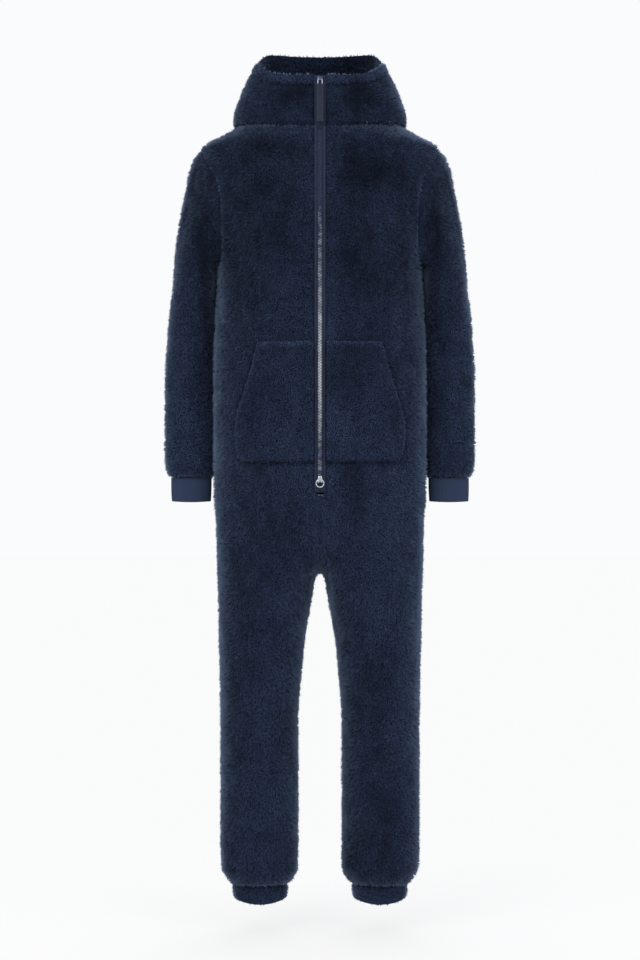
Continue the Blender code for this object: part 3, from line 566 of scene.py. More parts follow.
def seam_shift(face):
    z = body_rows()
    shift = np.zeros((len(z), COLUMNS + 1, 3))
    for rows, edge in ((at_side_seam(z), -1), (z < CROTCH_Z + 0.5, 0)):
        shift[rows, edge, 1] = face * SEAM_GAP / 2
    return shift


def shape_body():
    """The body panels' points and normals by face, and with their folds by part and side."""
    z, share = np.meshgrid(body_rows(), SHARES, indexing="ij")
    grids = {}
    for face in FACES:
        points = body_points(face, share, z)
        grids[face] = points, grid_normals(points, -face)
    join_normals(grids)
    shaped = {}
    faded = fade(len(SHARES), 0.22, 0.22) * fade_at_ends(len(z))
    for face, part in FACES.items():
        points, normals = grids[face]
        for side in HANDS:
            height = spot_sum(FOLDS, part, side, points[..., 0], points[..., 2]) * faded
            folded = points + seam_shift(face) + normals * height[..., None]
            shaped[part, side] = folded, normals
    return grids, shaped


# ---------------------------------------------------------------- sleeve, hood and cuff surfaces

def body_samples():
    """Points and normals all over the panels, leaving out the armhole's own edge."""
    found = []
    z, share = np.meshgrid(np.linspace(NECK_Z, CROTCH_Z, 130), np.linspace(0, 1, 40), indexing="ij")
    kept = (share < 0.99) | (z < UNDERARM_Z) | (z > TIP_Z)
    for face in FACES:
        points = body_points(face, share, z)
        found.append((points[kept], grid_normals(points, -face)[kept]))
    return [np.concatenate(part) for part in zip(*found)]


def held_clear(grid, clearance):
    """Moves the points of a grid that come too near the body outwards, row by row from its seam."""
    points, normals = body_samples()
    grid = grid.copy()
    for row in range(1, len(grid)):
        least = clearance * min(1.0, row / 3)
        for _ in range(3):
            apart = grid[row][:, None] - points[None]
            nearest = np.argmin((apart ** 2).sum(axis=-1), axis=1)
            apart = apart[np.arange(len(nearest)), nearest]
            depth = (apart * normals[nearest]).sum(axis=-1)
            near = np.linalg.norm(apart, axis=-1) < 40
            push = np.where(near, np.clip(least - depth, 0, None), 0)
            grid[row] += normals[nearest] * push[:, None]
    return grid


def armhole_loop(grids):
    """The armhole's points and normals, from the shoulder tip down the front and up the back."""
    z = body_rows()
    rows = np.flatnonzero(at_armhole(z))
    points, normals = (np.concatenate([front[rows, -1], back[rows[-2:0:-1], -1]])
                       for front, back in zip(grids[-1], grids[1]))
    along = np.roll(points, -1, axis=0) - np.roll(points, 1, axis=0)
    outward = unit(np.cross(normals, along))
    outward *= np.where(outward[:, :1] < 0, -1.0, 1.0)
    for _ in range(8):  # eases the corner at the shoulder tip
        outward = unit(np.roll(outward, 1, axis=0) + 2 * outward + np.roll(outward, -1, axis=0))
    return points, normals, outward


def sleeve_ring(count, z):
    """A sleeve section: from its outer edge round the front, the inner edge and the back."""
    inner, outer = column(SLEEVE, "inner", z), column(SLEEVE, "outer", z)
    angle = circle(count)
    exponent = 2 / SLEEVE_ROUNDNESS
    across = (inner + outer) / 2 + (outer - inner) / 2 * power(np.cos(angle), exponent)
    depth = np.where(np.sin(angle) > 0, -column(SLEEVE, "front", z), column(SLEEVE, "back", z))
    along = column(SLEEVE, "middle_y", z) + depth * np.abs(np.sin(angle)) ** exponent
    return np.stack([across, along, np.full(count, float(z))], axis=-1)


def sleeve_grid(grids):
    points, normals, outward = armhole_loop(grids)
    start = points + outward * ARMHOLE_GAP
    first = sleeve_ring(len(points), SLEEVE[0].z)
    span = np.linalg.norm(first - start, axis=1, keepdims=True)
    pull = SLEEVE_PULL + SHOULDER_PULL * smooth_step(start[:, 2:], -190.0, TIP_Z)
    rows = [hermite(t, start, first, span * pull * outward, span * SLEEVE_PULL * DOWN)
            for t in np.linspace(0, 1, SLEEVE_STEPS + 1)]
    rows += [sleeve_ring(len(points), z) for z in SLEEVE_HEIGHTS]
    grid = refine_rows(held_clear(np.array(rows), SLEEVE_CLEARANCE), GRID_STEP)
    found = ring_normals(grid)
    if (found[-3] * (grid[-3] - grid[-3].mean(axis=0))).sum() < 0:
        found = -found
    found[0] = normals
    found[1] = unit(found[1] + 0.35 * normals)
    return grid, found


def tucked(ring, *shares):
    """A ring drawn in about its middle, and a seam's gap lower."""
    middle = ring.mean(axis=0)
    return middle + (ring - middle) * np.array([*shares, 1.0]) + SEAM_GAP * DOWN


def band(top, bottom_z, narrow, sag, spacing):
    """A cuff's points and normals: it hangs from the ring top, narrows, and sags in the middle."""
    middle = top.mean(axis=0)
    sideways = top[:, 0] - middle[0]
    drop = (bottom_z - top[:, 2]) + sag * (sideways / np.abs(sideways).max()) ** 2
    rows = []
    for t in np.linspace(0, 1, 4):
        scale = 1 - narrow * max(0.0, t - 0.5) * 2
        ring = middle + (top - middle) * np.array([scale, scale, 1.0])
        ring[:, 2] = top[:, 2] + drop * t
        rows.append(ring)
    outer = refine_rows(np.array(rows), spacing)
    return outer, unit((outer - outer.mean(axis=1, keepdims=True)) * LEVEL)


def hood_ring(ring, face):
    """Points of a hood ring over the columns of a panel, from the centre to the side."""
    inner = ZIP_HALF_WIDTH if face < 0 else SEAM_GAP / 2
    end_y, end_z, flat = (getattr(ring, name) for name in (
        f"{FACES[face]}_y", f"{FACES[face]}_z", f"flat_{FACES[face]}"))
    first = np.arcsin((inner / ring.half_width) ** (ROUNDNESS / 2))
    angle = first + (np.pi / 2 - first) * SHARES
    return np.stack([
        ring.half_width * power(np.sin(angle), 2 / ROUNDNESS),
        SEAM_Y + (end_y - SEAM_Y) * power(np.cos(angle), 2 / ROUNDNESS),
        ring.side_z + (end_z - ring.side_z) * (1 - np.sin(angle) ** flat),
    ], axis=-1)


def hood_grid(grids):
    """Rows from the neck seam over the fold to the rim; columns from the zip to the centre back."""
    def joined(front, back):
        return np.concatenate([front, back[::-1][1:]])

    seam, normals = (joined(front[0], back[0]) for front, back in zip(grids[-1], grids[1]))
    lift = unit(np.cross(normals, np.gradient(seam, axis=0)))
    rings = np.array([seam + lift * SEAM_GAP]
                     + [joined(hood_ring(ring, -1), hood_ring(ring, 1)) for ring in HOOD])
    padded = np.concatenate([2 * rings[:1] - rings[1:2], rings, 2 * rings[-1:] - rings[-2:-1]])
    rows = [hermite(t, start, end, (end - before) / 2, (after - start) / 2)
            for before, start, end, after in zip(padded, padded[1:], padded[2:], padded[3:])
            for t in np.arange(HOOD_STEPS) / HOOD_STEPS]
    grid = refine_rows(held_clear(np.array(rows + [rings[-1]]), HOOD_CLEARANCE), GRID_STEP)
    grid[:, 0, 0] = ZIP_HALF_WIDTH
    grid[:, -1, 0] = SEAM_GAP / 2
    found = grid_normals(grid)
    if found[-1, 0, 1] > 0:
        found = -found
    found[:, (0, -1), 0] = 0
    found[:, (0, -1)] = unit(found[:, (0, -1)])
    found[0] = normals
    return grid, found


# ---------------------------------------------------------------- grids and meshes

def refine_rows(grid, spacing):
    """More rows on a smooth curve through the grid's own."""
    lengths = np.linalg.norm(np.diff(grid, axis=0), axis=-1).mean(axis=1)
    slopes = np.diff(grid, axis=0) / lengths[:, None, None]
    before, after = lengths[:-1, None, None], lengths[1:, None, None]
    inner = (slopes[:-1] * after + slopes[1:] * before) / (before + after)
    tangents = np.concatenate([slopes[:1], inner, slopes[-1:]])
    rows = []
    for i, length in enumerate(lengths):
        steps = max(1, int(round(length / spacing)))
        rows += [hermite(t, grid[i], grid[i + 1], length * tangents[i], length * tangents[i + 1])
                 for t in np.arange(steps) / steps]
    return np.array(rows + [grid[-1]])


def edge_share(points, edges, reach=EDGE_REACH):
    """1 at the named edges (top, bottom, first, last) of a grid, falling to 0 within reach."""
    share = np.zeros(points.shape[:2])
    for axis, names in ((0, ALL_EDGES[:2]), (1, ALL_EDGES[2:])):
        along = np.cumsum(np.linalg.norm(np.diff(points, axis=axis), axis=-1), axis=axis)
        along = np.concatenate([np.zeros_like(along.take([0], axis)), along], axis=axis)
        for name, distance in zip(names, (along, along.take([-1], axis) - along)):
            if name in edges:
                share = np.maximum(share, 1 - smooth_step(distance, 0, reach))
    return share


def rounded_end(outer, inner):
    """Rows that carry a wall round from its outer to its inner face."""
    middle, half = (outer[-1] + inner[-1]) / 2, (outer[-1] - inner[-1]) / 2
    radius = np.linalg.norm(half, axis=-1, keepdims=True)
    beyond = outer[-1] - outer[-2]
    beyond -= half * (beyond * half).sum(axis=-1, keepdims=True) / radius ** 2
    beyond = unit(beyond) * radius
    return np.array([middle - beyond + half * np.cos(turn) + beyond * np.sin(turn)
                     for turn in np.linspace(0, np.pi, 7)])


def wall_grid(outer, inner, rim):
    """The outer rows, the rounded rim if there is one, and the inner rows back again."""
    if not rim:
        return np.concatenate([outer, inner[::-1]]), len(outer)
    return np.concatenate([outer[:-1], rounded_end(outer, inner), inner[-2::-1]]), len(outer) + 2


def grid_faces(rows, columns, around=True, along=False):
    """The points' numbers in a grid that may close round either way, and its faces."""
    index = np.arange(rows * columns).reshape(rows, columns)
    if along:
        index = np.concatenate([index, index[:1]])
    if around:
        index = np.concatenate([index, index[:, :1]], axis=1)
    faces = np.stack([index[:-1, :-1], index[1:, :-1], index[1:, 1:], index[:-1, 1:]], axis=-1)
    return index, faces.reshape(-1, 4)


def grid_mesh(name, grid, ring):
    """A closed mesh from a grid that runs out over one face of a wall and back over the other."""
    rows, columns = grid.shape[:2]
    index, faces = grid_faces(rows, columns, ring)
    last = rows - 1
    ends = np.stack([index[0, 1:], index[last, 1:], index[last, :-1], index[0, :-1]], axis=-1)
    parts = [faces, ends]
    if not ring:
        half = np.arange(last // 2)
        for edge, order in ((0, 1), (columns - 1, -1)):
            corners = (half, last - half, last - half - 1, half + 1)
            parts.append(np.stack([index[row, edge] for row in corners], axis=-1)[:, ::order])
    return mesh_object(name, grid.reshape(-1, 3), np.concatenate(parts))


def add_object(name, mesh):
    obj = bpy.data.objects.new(name, mesh)
    bpy.context.scene.collection.objects.link(obj)
    return obj


def mesh_object(name, points, faces, smooth=True):
    """An object from points in millimetres; a face that repeats a corner has one corner fewer."""
    mesh = bpy.data.meshes.new(name)
    faces = [list(dict.fromkeys(row)) for row in faces.tolist()]
    mesh.from_pydata((points * MM).tolist(), [], faces)
    mesh.validate()
    if smooth:
        mesh.shade_smooth()
    return add_object(name, mesh)


def face_out(obj):
    """Turns the faces outwards if the mesh is inside out."""
    shape = bmesh.new()
    shape.from_mesh(obj.data)
    if shape.calc_volume(signed=True) < 0:
        obj.data.flip_normals()
    shape.free()
    return obj


def give(obj, name, values):
    """A number for each point of the mesh, which its material reads by that name."""
    found = obj.data.attributes.new(name, "FLOAT", "POINT")
    found.data.foreach_set("value", np.asarray(values, np.float32).ravel())


def dress(obj, look, slot, *nodes, body="root"):
    obj.data.materials.append(LOOKS[look])
    if nodes:
        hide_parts(*nodes)
    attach(obj, body)
    return obj


# ---------------------------------------------------------------- looks

LOOKS = {}
# The tone, nap and painted light together, runs from the dark to the light pile colour; the root
# colour is painted shade deep in the pile.
PILE_DARK = (0.0060, 0.0090, 0.0190, 1)
PILE_LIGHT = (0.0350, 0.0540, 0.1130, 1)
PILE_ROOT_SHADE = (0.0030, 0.0045, 0.0100, 1)
PILE_SHEEN = (0.5, 0.68, 1.0, 1)
KNIT_DARK, KNIT_LIGHT = (0.014, 0.022, 0.048, 1), (0.030, 0.046, 0.092, 1)
# the knit's groove colour is painted shade in its dips
KNIT_GROOVE_SHADE, KNIT_FIBRE = (0.010, 0.014, 0.030, 1), (0.04, 0.06, 0.11, 1)
# the dark tape and tab colours are painted shade in the dips of the weave
TAPE_LIGHT, TAPE_DARK = (0.021, 0.033, 0.066, 1), (0.007, 0.011, 0.025, 1)
TAB_LIGHT, TAB_DARK = (0.027, 0.034, 0.052, 1), (0.010, 0.014, 0.024, 1)
THREAD_DARK, THREAD_LIGHT = (0.014, 0.022, 0.045, 1), (0.038, 0.054, 0.095, 1)
SILVER, SILVER_DULL = (0.62, 0.64, 0.68, 1), (0.36, 0.39, 0.44, 1)
# navy painted reflection of the dark surroundings on the zip metal
DARK_REFLECTION = (0.046, 0.062, 0.115, 1)


class Look:
    """A material in the making. Its calls add a node each and give the node's output."""

    def __init__(self, name, **values):
        self.made = bpy.data.materials.new(name)
        self.made.use_nodes = True
        self.nodes = self.made.node_tree.nodes
        self.shader = self.nodes["Principled BSDF"]
        for key, value in values.items():
            self.shader.inputs[key.replace("_", " ")].default_value = value

    def put(self, value, socket):
        if isinstance(value, bpy.types.NodeSocket):
            self.made.node_tree.links.new(value, socket)
        else:
            socket.default_value = value

    def node(self, kind, output, inputs=None, **settings):
        node = self.nodes.new(f"ShaderNode{kind}")
        for key, value in settings.items():
            setattr(node, key, value)
        for key, value in (inputs or {}).items():
            self.put(value, node.inputs[key])
        return node.outputs[output]

    def place(self):
        return self.node("TexCoord", "Object")

    def noise(self, scale, detail):
        """Noise in the object's own coordinates; scale is in features a metre."""
        return self.node("TexNoise", "Fac", {
            "Scale": scale, "Detail": detail, "Vector": self.place()})

    def wave(self, direction, scale, **inputs):
        return self.node("TexWave", "Fac", {"Scale": scale, "Vector": self.place(), **inputs},
                         bands_direction=direction)

    def attribute(self, name):
        return self.node("Attribute", "Fac", attribute_name=name)

    def ramp(self, value, low, high, to_low=0.0, to_high=1.0):
        return self.node("MapRange", "Result", {
            "Value": value, "From Min": low, "From Max": high, "To Min": to_low, "To Max": to_high})

    def mix(self, share, first, second):
        return self.node("Mix", 2, {0: share, 6: first, 7: second}, data_type="RGBA")

    def math(self, operation, first, second, **settings):
        return self.node("Math", 0, {0: first, 1: second}, operation=operation, **settings)

    def bump(self, height, strength, distance):
        normal = self.node("Bump", "Normal", {
            "Height": height, "Strength": strength, "Distance": distance})
        self.put(normal, self.shader.inputs["Normal"])

    def done(self, colour):
        self.put(colour, self.shader.inputs["Base Color"])
        return self.made


def fleece_material(name, pile):
    look = Look(name, Roughness=0.9, Sheen_Weight=0.34 if pile else 0.0, Sheen_Roughness=0.5,
                Sheen_Tint=PILE_SHEEN, Specular_IOR_Level=0.06)
    shade = look.mix(look.ramp(look.attribute("tone"), -1, 1), PILE_DARK, PILE_LIGHT)
    # The pile darkens towards its roots, and the backing in patches: painted shade deep in the
    # pile.
    if pile:
        return look.done(look.mix(look.ramp(look.attribute("tip"), 0.0, 0.75), PILE_ROOT_SHADE, shade))
    curl = look.noise(420, 3)
    look.bump(curl, 0.8, 0.0012)
    return look.done(look.mix(look.ramp(curl, 0.4, 0.66), PILE_ROOT_SHADE, shade))


def knit_material():
    look = Look("knit", Roughness=0.9, Sheen_Weight=0.15, Sheen_Roughness=0.5,
                Sheen_Tint=PILE_SHEEN, Specular_IOR_Level=0.1)
    wave = look.wave("Z", 290, Distortion=2.0, Detail=1.0)
    shade = look.mix(look.ramp(look.attribute("tone"), -1, 1), KNIT_DARK, KNIT_LIGHT)
    # darker in the dips of the knit's rows: painted shade
    shade = look.mix(look.ramp(wave, 0.1, 0.9, 0.25, 0.0), shade, KNIT_GROOVE_SHADE)
    shade = look.mix(look.ramp(look.noise(900, 2), 0.35, 0.7, 0, 0.25), shade, KNIT_FIBRE)
    look.bump(wave, 0.35, 0.0004)
    return look.done(shade)


def tape_material(name, light, dark):
    look = Look(name, Roughness=0.8, Specular_IOR_Level=0.15)
    weave = look.math("MULTIPLY", *(look.wave(direction, scale, Distortion=0.6)
                                    for direction, scale in (("X", 360), ("Z", 520))))
    # darker in the dips of the weave: painted shade
    shade = look.mix(look.ramp(weave, 0.0, 0.7), dark, light)
    look.bump(weave, 0.5, 0.0003)
    return look.done(look.mix(look.ramp(look.noise(60, 3), 0.4, 0.75, 0, 0.3), shade, light))


def thread_material():
    look = Look("thread", Roughness=0.6, Sheen_Weight=0.2)
    return look.done(look.mix(look.noise(1500, 2), THREAD_DARK, THREAD_LIGHT))


def metal_material(name, reflects_dark):
    """Polished zip metal; on the chain a navy colour over the upper end and much of the lower end
    is painted reflection of the dark surroundings.
    """
    look = Look(name, Metallic=1.0, Roughness=0.3)
    dull = look.noise(700, 3)
    colour = look.mix(look.ramp(dull, 0.35, 0.7), SILVER, SILVER_DULL)
    if reflects_dark:
        # painted dark reflection: navy at the top and over much of the bottom, with uneven edges
        z = look.node("SeparateXYZ", "Z", {0: look.place()})
        low_reflection = look.ramp(z, -0.53, -0.64, 0.0, 0.72)
        reflection_share = look.math("MAXIMUM", look.ramp(z, -0.48, -0.18), low_reflection)
        uneven = look.ramp(look.noise(90, 1), 0.35, 0.65, -0.25, 0.25)
        reflection_share = look.math("ADD", reflection_share, uneven, use_clamp=True)
        reflection_share = look.math("MAXIMUM", reflection_share, look.ramp(z, -0.25, -0.18))
        colour = look.mix(reflection_share, colour, DARK_REFLECTION)
    look.put(look.ramp(dull, 0.3, 0.7, 0.22, 0.42), look.shader.inputs["Roughness"])
    return look.done(colour)


def make_looks():
    LOOKS.update(
        backing=fleece_material("fleece_backing", False), pile=fleece_material("fleece_pile", True),
        knit=knit_material(), tape=tape_material("tape", TAPE_LIGHT, TAPE_DARK),
        thread=thread_material(), tab=tape_material("tab_fabric", TAB_LIGHT, TAB_DARK),
        chain=metal_material("chain_metal", True), metal=metal_material("slider_metal", False))


# ---------------------------------------------------------------- fleece

def make_pile(name, points, normals, tone, thin, spacing, length):
    """Tufts over a grid: roots in the base cloth, tips about the solid's face.

    Each tuft leans towards the middle of its lock, so that the pile parts into soft locks, and it
    is shaded along the cloth's own normals, as fine fibres are. Thin is 1 where it is pressed down.
    """
    a, b, c, d = points[:-1, :-1], points[1:, :-1], points[1:, 1:], points[:-1, 1:]
    area = np.linalg.norm(np.cross(c - a, d - b), axis=-1) / 2
    counts = np.floor(area / spacing ** 2 + RNG.random(area.shape)).astype(int)
    row, across = (np.repeat(found.ravel(), counts.ravel()) for found in np.indices(area.shape))
    s, t = RNG.random(len(row))[:, None], RNG.random(len(row))[:, None]

    def at(values):
        values = values if values.ndim == 3 else values[..., None]
        return ((1 - s) * (1 - t) * values[row, across] + s * (1 - t) * values[row + 1, across]
                + s * t * values[row + 1, across + 1] + (1 - s) * t * values[row, across + 1])

    place, out, thin, tone = at(points), unit(at(normals)), at(thin), at(tone)[:, 0]
    count = len(place)
    lock = noise(place, LOCK_SIZE, 14)
    towards = np.stack([noise(place + step, LOCK_SIZE, 14) - lock for step in np.eye(3) * 1.5],
                       axis=-1)
    swirl = np.stack([noise(place, SWIRL_SIZE, seed) for seed in (11, 12, 13)], axis=-1)
    lean = 0.4 * DOWN + swirl * 0.45 + towards * 2.0 + RNG.normal(0, 0.16, place.shape)
    lean -= out * (lean * out).sum(axis=-1, keepdims=True)
    aim = unit(out * 0.8 + lean)
    uneven = RNG.uniform(0.8, 1.1, (count, 1))
    reach = length * (1 + 0.14 * lock[:, None]) * (1 - 0.4 * thin) * uneven
    side = unit(np.cross(aim, RNG.normal(0, 1, aim.shape)))
    other = np.cross(aim, side)
    base = place - out * 0.7
    ring = []
    for turn in (0, 2.1, 4.2):
        wide = TUFT_WIDTH * RNG.uniform(0.8, 1.2, (count, 1))
        ring.append(base + wide * (side * np.cos(turn) + other * np.sin(turn)))
    corners = np.array([(0, 1, 3), (1, 2, 3), (2, 0, 3)])[:, None] * count
    faces = (corners + np.arange(count)[:, None]).reshape(-1, 3)
    obj = mesh_object(name, np.concatenate(ring + [base + aim * reach]), faces)
    shaded = np.concatenate([out, out, out, unit(out * 0.8 + aim * 0.5)])
    obj.data.normals_split_custom_set_from_vertices(shaded)
    give(obj, "tip", np.repeat([0.0, 1.0], [3 * count, count]))
    give(obj, "tone", np.tile(tone + 0.5 * lock + RNG.normal(0, 0.2, count), 4))
    return obj


def tone_of(part, side, across, points):
    """How light the pile lies: the listed spots of nap and painted light, a painted light gradient
    with height, and soft uneven patches.
    """
    z = points[..., 2]
    # brighter over the hips and legs, darker at the chest and hood: a painted light gradient
    total = np.interp(z, [-1500, -900, -700, -300, 0, 140], [0.4, 0.35, 0.65, 0.0, -0.1, -0.2])
    for amount, tall, size, seed in ((0.5, 0.5, 60, 21), (0.3, 0.6, 24, 22), (0.35, 0.35, 12, 24)):
        total += amount * noise(points * np.array([1, 1, tall]), size, seed)
    return total + spot_sum(NAP_AND_PAINTED_LIGHT, part, side, across, z)


def flipped(points, side):
    return points * np.array([side, 1.0, 1.0])


def fleece_piece(part, side, outer, normals, edges, across=None, ring=False, rim=False,
                 wall=FLEECE_WALL, backing=BACKING_DEPTH, beyond=0, spacing=PILE_SPACING,
                 length=PILE_LENGTH, painted_light=None):
    """One cut piece: the base cloth as a closed wall, and the pile on its outer face.

    The pile goes on for some rows beyond the rim. Across is where the spots of nap and painted
    light are read; the extra tone given for the outer rows is painted highlight and shade.
    """
    name, sleeve = f"{part}_{HANDS[side]}", part == "sleeve"
    across = outer[..., 0] if across is None else across
    rolled, z = edge_share(outer, edges), outer[..., 2]
    share = np.linspace(0, 1, outer.shape[1])
    low = 0.0
    if part in FACES.values():  # the pile covers the side seam, and is longest there
        low = smooth_step(-z, -UNDERARM_Z - 22, -UNDERARM_Z - 4)
        rolled = rolled * (1 - low * smooth_step(share, 0.6, 0.9))
        low = low * smooth_step(z, -790, -740)
    puffed = low * smooth_step(share, 0.8, 1.0)
    lifted = EDGE_ROLL * rolled - 0.5 * noise(outer, 16, 31) - 2.6 * puffed
    if sleeve:
        lifted -= 2.0 * smooth_step(-normals[..., 0], 0.5, 0.9) * smooth_step(-z, 290, 320)
    base = outer - normals * (backing + lifted)[..., None]
    inner = outer - normals * wall
    for wall_face in (base, inner):  # the two sides meet along the centre seams
        wall_face[np.abs(outer[..., 0]) < 2 * SEAM_GAP, 0] = 0.0
    if sleeve:  # the seam allowance turns in under the body
        turned_in = base[:1] + 6.0 * unit(base[:1] - base[1:2])
        base = np.concatenate([turned_in - 6.5 * normals[:1], base])
        inner = np.concatenate([turned_in - 8.0 * normals[:1], inner])
        normals, rolled, across = (np.concatenate([found[:1], found])
                                   for found in (normals, rolled, across))
    grid, visible = wall_grid(base, inner, rim)
    grid = flipped(grid, side)
    cloth = face_out(grid_mesh(f"cloth_{name}", grid, ring))
    out = ring_normals(grid) if ring else grid_normals(grid)
    if (out[:len(base)] * flipped(normals, side)).sum(axis=-1).mean() < 0:
        out = -out
    hidden = len(grid) - len(across)
    tone = tone_of(part, side, np.concatenate([across, across[-1:].repeat(hidden, axis=0)]), grid)
    if painted_light is not None:
        # painted highlight and shade on the outer face; the rim and inner face of a hemmed piece
        # get painted light too
        tone[:len(painted_light)] += painted_light
        tone[len(painted_light):] += 0.35 * rim
    give(cloth, "tone", tone)
    dress(cloth, "backing", "fleece", name)
    thin = np.zeros(tone.shape)
    thin[:len(rolled)] = rolled
    if rim:
        thin[len(base) - 2:visible + 6] = 0.7
    thin[:len(rolled)] -= 0.6 * puffed
    patch = [found[int(sleeve):visible + beyond] for found in (grid, out, tone, thin)]
    if ring:
        patch = [np.concatenate([found, found[:, :1]], axis=1) for found in patch]
    pile = dress(make_pile(f"pile_{name}", *patch, spacing, length), "pile", "fleece")


def make_panels(shaped):
    for (part, side), (outer, normals) in shaped.items():
        z = outer[..., 2]
        if part == "front":  # the pile meets below the zip's end
            outer = outer.copy()
            closed = (z[:, 0] < ZIP_END_Z + 5) & (z[:, 0] > ZIP_CLOSED_Z - 2)
            outer[closed, :7, 0] -= (outer[closed, :1, 0] - 0.1) * (1 - np.arange(7) / 7)
        below = smooth_step(-z, 70, 110) * smooth_step(z, -760, -700)
        # painted highlight along the armhole, and painted shade beside the pocket below
        painted_lines = 0.8 * edge_share(outer, ("last",), 14.0) * below  # it shines along the armhole
        if part == "front":  # the shade beside the pocket's hand opening and under its lower edge
            top, low = POCKET[0].z, POCKET[-1].z
            beside = outer[..., 0] - column(POCKET, "outer", np.clip(z, low, top))
            within = smooth_step(top - z, 0, 60) * smooth_step(z - low, -4, 4)
            painted_lines = painted_lines - 1.1 * within * np.exp(-((beside - 4) / 5) ** 2)
            painted_lines = painted_lines - 0.8 * smooth_step(-beside, -6, 6) * np.exp(-((low - z - 3) / 4) ** 2)
        fleece_piece(part, side, outer, normals, ALL_EDGES, painted_light=painted_lines)


def make_sleeves(grids):
    grid, normals = sleeve_grid(grids)
    rows, count = grid.shape[:2]
    z = grid[..., 2]
    around = np.tile(np.arange(count) / count, (rows, 1))
    cap = np.exp(-((z + 78) / 42) ** 2) * smooth_step(normals[..., 0], 0.0, 0.8)
    for side in HANDS:
        height = spot_sum(FOLDS, "sleeve", side, around, z) * fade_at_ends(rows)
        outer = grid + normals * height[..., None] + normals * (SHOULDER_LIFT * cap)[..., None]
        fleece_piece("sleeve", side, outer, normals, ("top", "bottom"), ring=True)


def make_hood(grids):
    grid, normals = hood_grid(grids)
    gaps = np.linalg.norm(np.diff(grid, axis=0), axis=-1)
    below = np.concatenate([np.cumsum(gaps[::-1], axis=0)[::-1], 0 * gaps[:1]])
    hem = 1 - smooth_step(below, HEM - 3, HEM + 3)
    groove = np.exp(-((below - HEM) / 3.5) ** 2)
    hemmed = grid + normals * (1.2 * hem - 3.0 * groove)[..., None]
    for side in HANDS:
        # the raised hem gets a painted highlight and the groove of its seam painted shade
        fleece_piece("hood", side, hemmed, normals, ("top", "first", "last"),
                     across=np.abs(grid[..., 0]), rim=True, painted_light=0.85 * hem - 1.2 * groove,
                     beyond=16, length=7.0, spacing=3.0)
    return grid


def make_ankles():
    front, back = (leg_points(face, SHARES, np.full(COLUMNS + 1, ANKLE_Z)) for face in FACES)
    ring = tucked(np.concatenate([front, back[::-1][1:-1]]), 0.99, 0.99)
    outer, normals = band(ring, ANKLE_BOTTOM_Z, 0.04, 8.0, ANKLE_STEP)
    for side in HANDS:
        fleece_piece("ankle_cuff", side, outer, normals, ("top",), ring=True, rim=True, length=6.0)


def make_wrists():
    top = tucked(sleeve_ring(RIBS * 4, SLEEVE[-1].z), 0.985, 0.95)
    outer, normals = band(top, CUFF_BOTTOM_Z, 0.03, 1.5, WRIST_STEP)
    rib = RIB_HEIGHT * np.cos(2 * np.pi * np.arange(RIBS * 4) / 4)
    fall = np.linspace(0, 1, len(outer))[:, None]
    for side, hand in HANDS.items():
        fold = 0.9 * noise(outer * np.array([1, 1, 0.35]), 16, 41 + side) * fall
        base = outer + normals * (rib - 0.5 + fold - 0.5)[..., None]
        inner = outer - normals * KNIT_WALL + normals * (0.5 * rib + fold - 0.5)[..., None]
        rise = [base[:1] - normals[:1] * deep - DOWN * high  # up inside the sleeve
                for high, deep in ((14, 7.4), (4, 7.0), (1, 4.0))]
        base = np.concatenate(rise + [base])
        inner = np.concatenate([row - normals[:1] * 1.5 for row in rise] + [inner])
        grid, _ = wall_grid(base, inner, True)
        cuff = face_out(grid_mesh(f"cloth_wrist_cuff_{hand}", flipped(grid, side), True))
        # the tone follows the ribs: painted highlight on the raised ribs, painted shade between
        # them
        give(cuff, "tone", 0.12 * noise(grid, 22, 42) + np.tile(rib, (len(grid), 1)) * 0.5)
        dress(cuff, "knit", "knit", f"wrist_cuff_{hand}")


def make_pockets(shaped):
    z = body_rows()
    within = z[(z < POCKET[0].z - 2) & (z > POCKET[-1].z + 2)]
    share = np.linspace(0, 1, 24)
    first = ZIP_HALF_WIDTH + 1.0
    for side, hand in HANDS.items():
        found = []
        for height in (POCKET[0].z, *within, POCKET[-1].z):
            below = int(np.searchsorted(-z, -height))
            t = (z[below - 1] - height) / (z[below - 1] - z[below])
            line, turned = (part[below - 1] * (1 - t) + part[below] * t
                            for part in shaped["front", side])
            at = first + (column(POCKET, "outer", height) - first) * share
            found.append([read_rows(at, line[:, 0], part) for part in (line, turned)])
        grid, out = np.array(found).swapaxes(0, 1)
        out = unit(out)
        sewn_ends = 0.35 + 0.65 * np.sin(np.linspace(0, np.pi, len(grid)))[:, None]
        lift = POCKET_GAP + OPENING_LIFT * smooth_step(share, 0.45, 1.0) * sewn_ends + POCKET_WALL
        patch = grid + out * lift[..., None]
        # painted highlights on the top edge and the hand opening's edge, painted shade under the
        # lower edge
        painted_lines = (1.5 * edge_share(patch, ("top",), 7.0) - 1.8 * edge_share(patch, ("bottom",), 8.0)
                 + 1.2 * edge_share(patch, ("last",), 7.0))
        fleece_piece("pocket", side, patch, out, ALL_EDGES, painted_light=painted_lines, wall=POCKET_WALL - 0.3,
                     backing=2.2, length=7.4)


# ---------------------------------------------------------------- small shapes

def lofted(name, sections):
    """A closed mesh through rings of points, with flat ends."""
    rows, columns = sections.shape[:2]
    index, sides = grid_faces(rows, columns)
    faces = [sides[:, [0, 1, 2]], sides[:, [0, 2, 3]]]
    for row, order in ((0, (0, 1, 2)), (rows - 1, (0, 2, 1))):
        fan = [[index[row, 0], index[row, k], index[row, k + 1]] for k in range(1, columns - 1)]
        faces.append(np.array(fan)[:, order])
    return face_out(mesh_object(name, sections.reshape(-1, 3), np.concatenate(faces)))


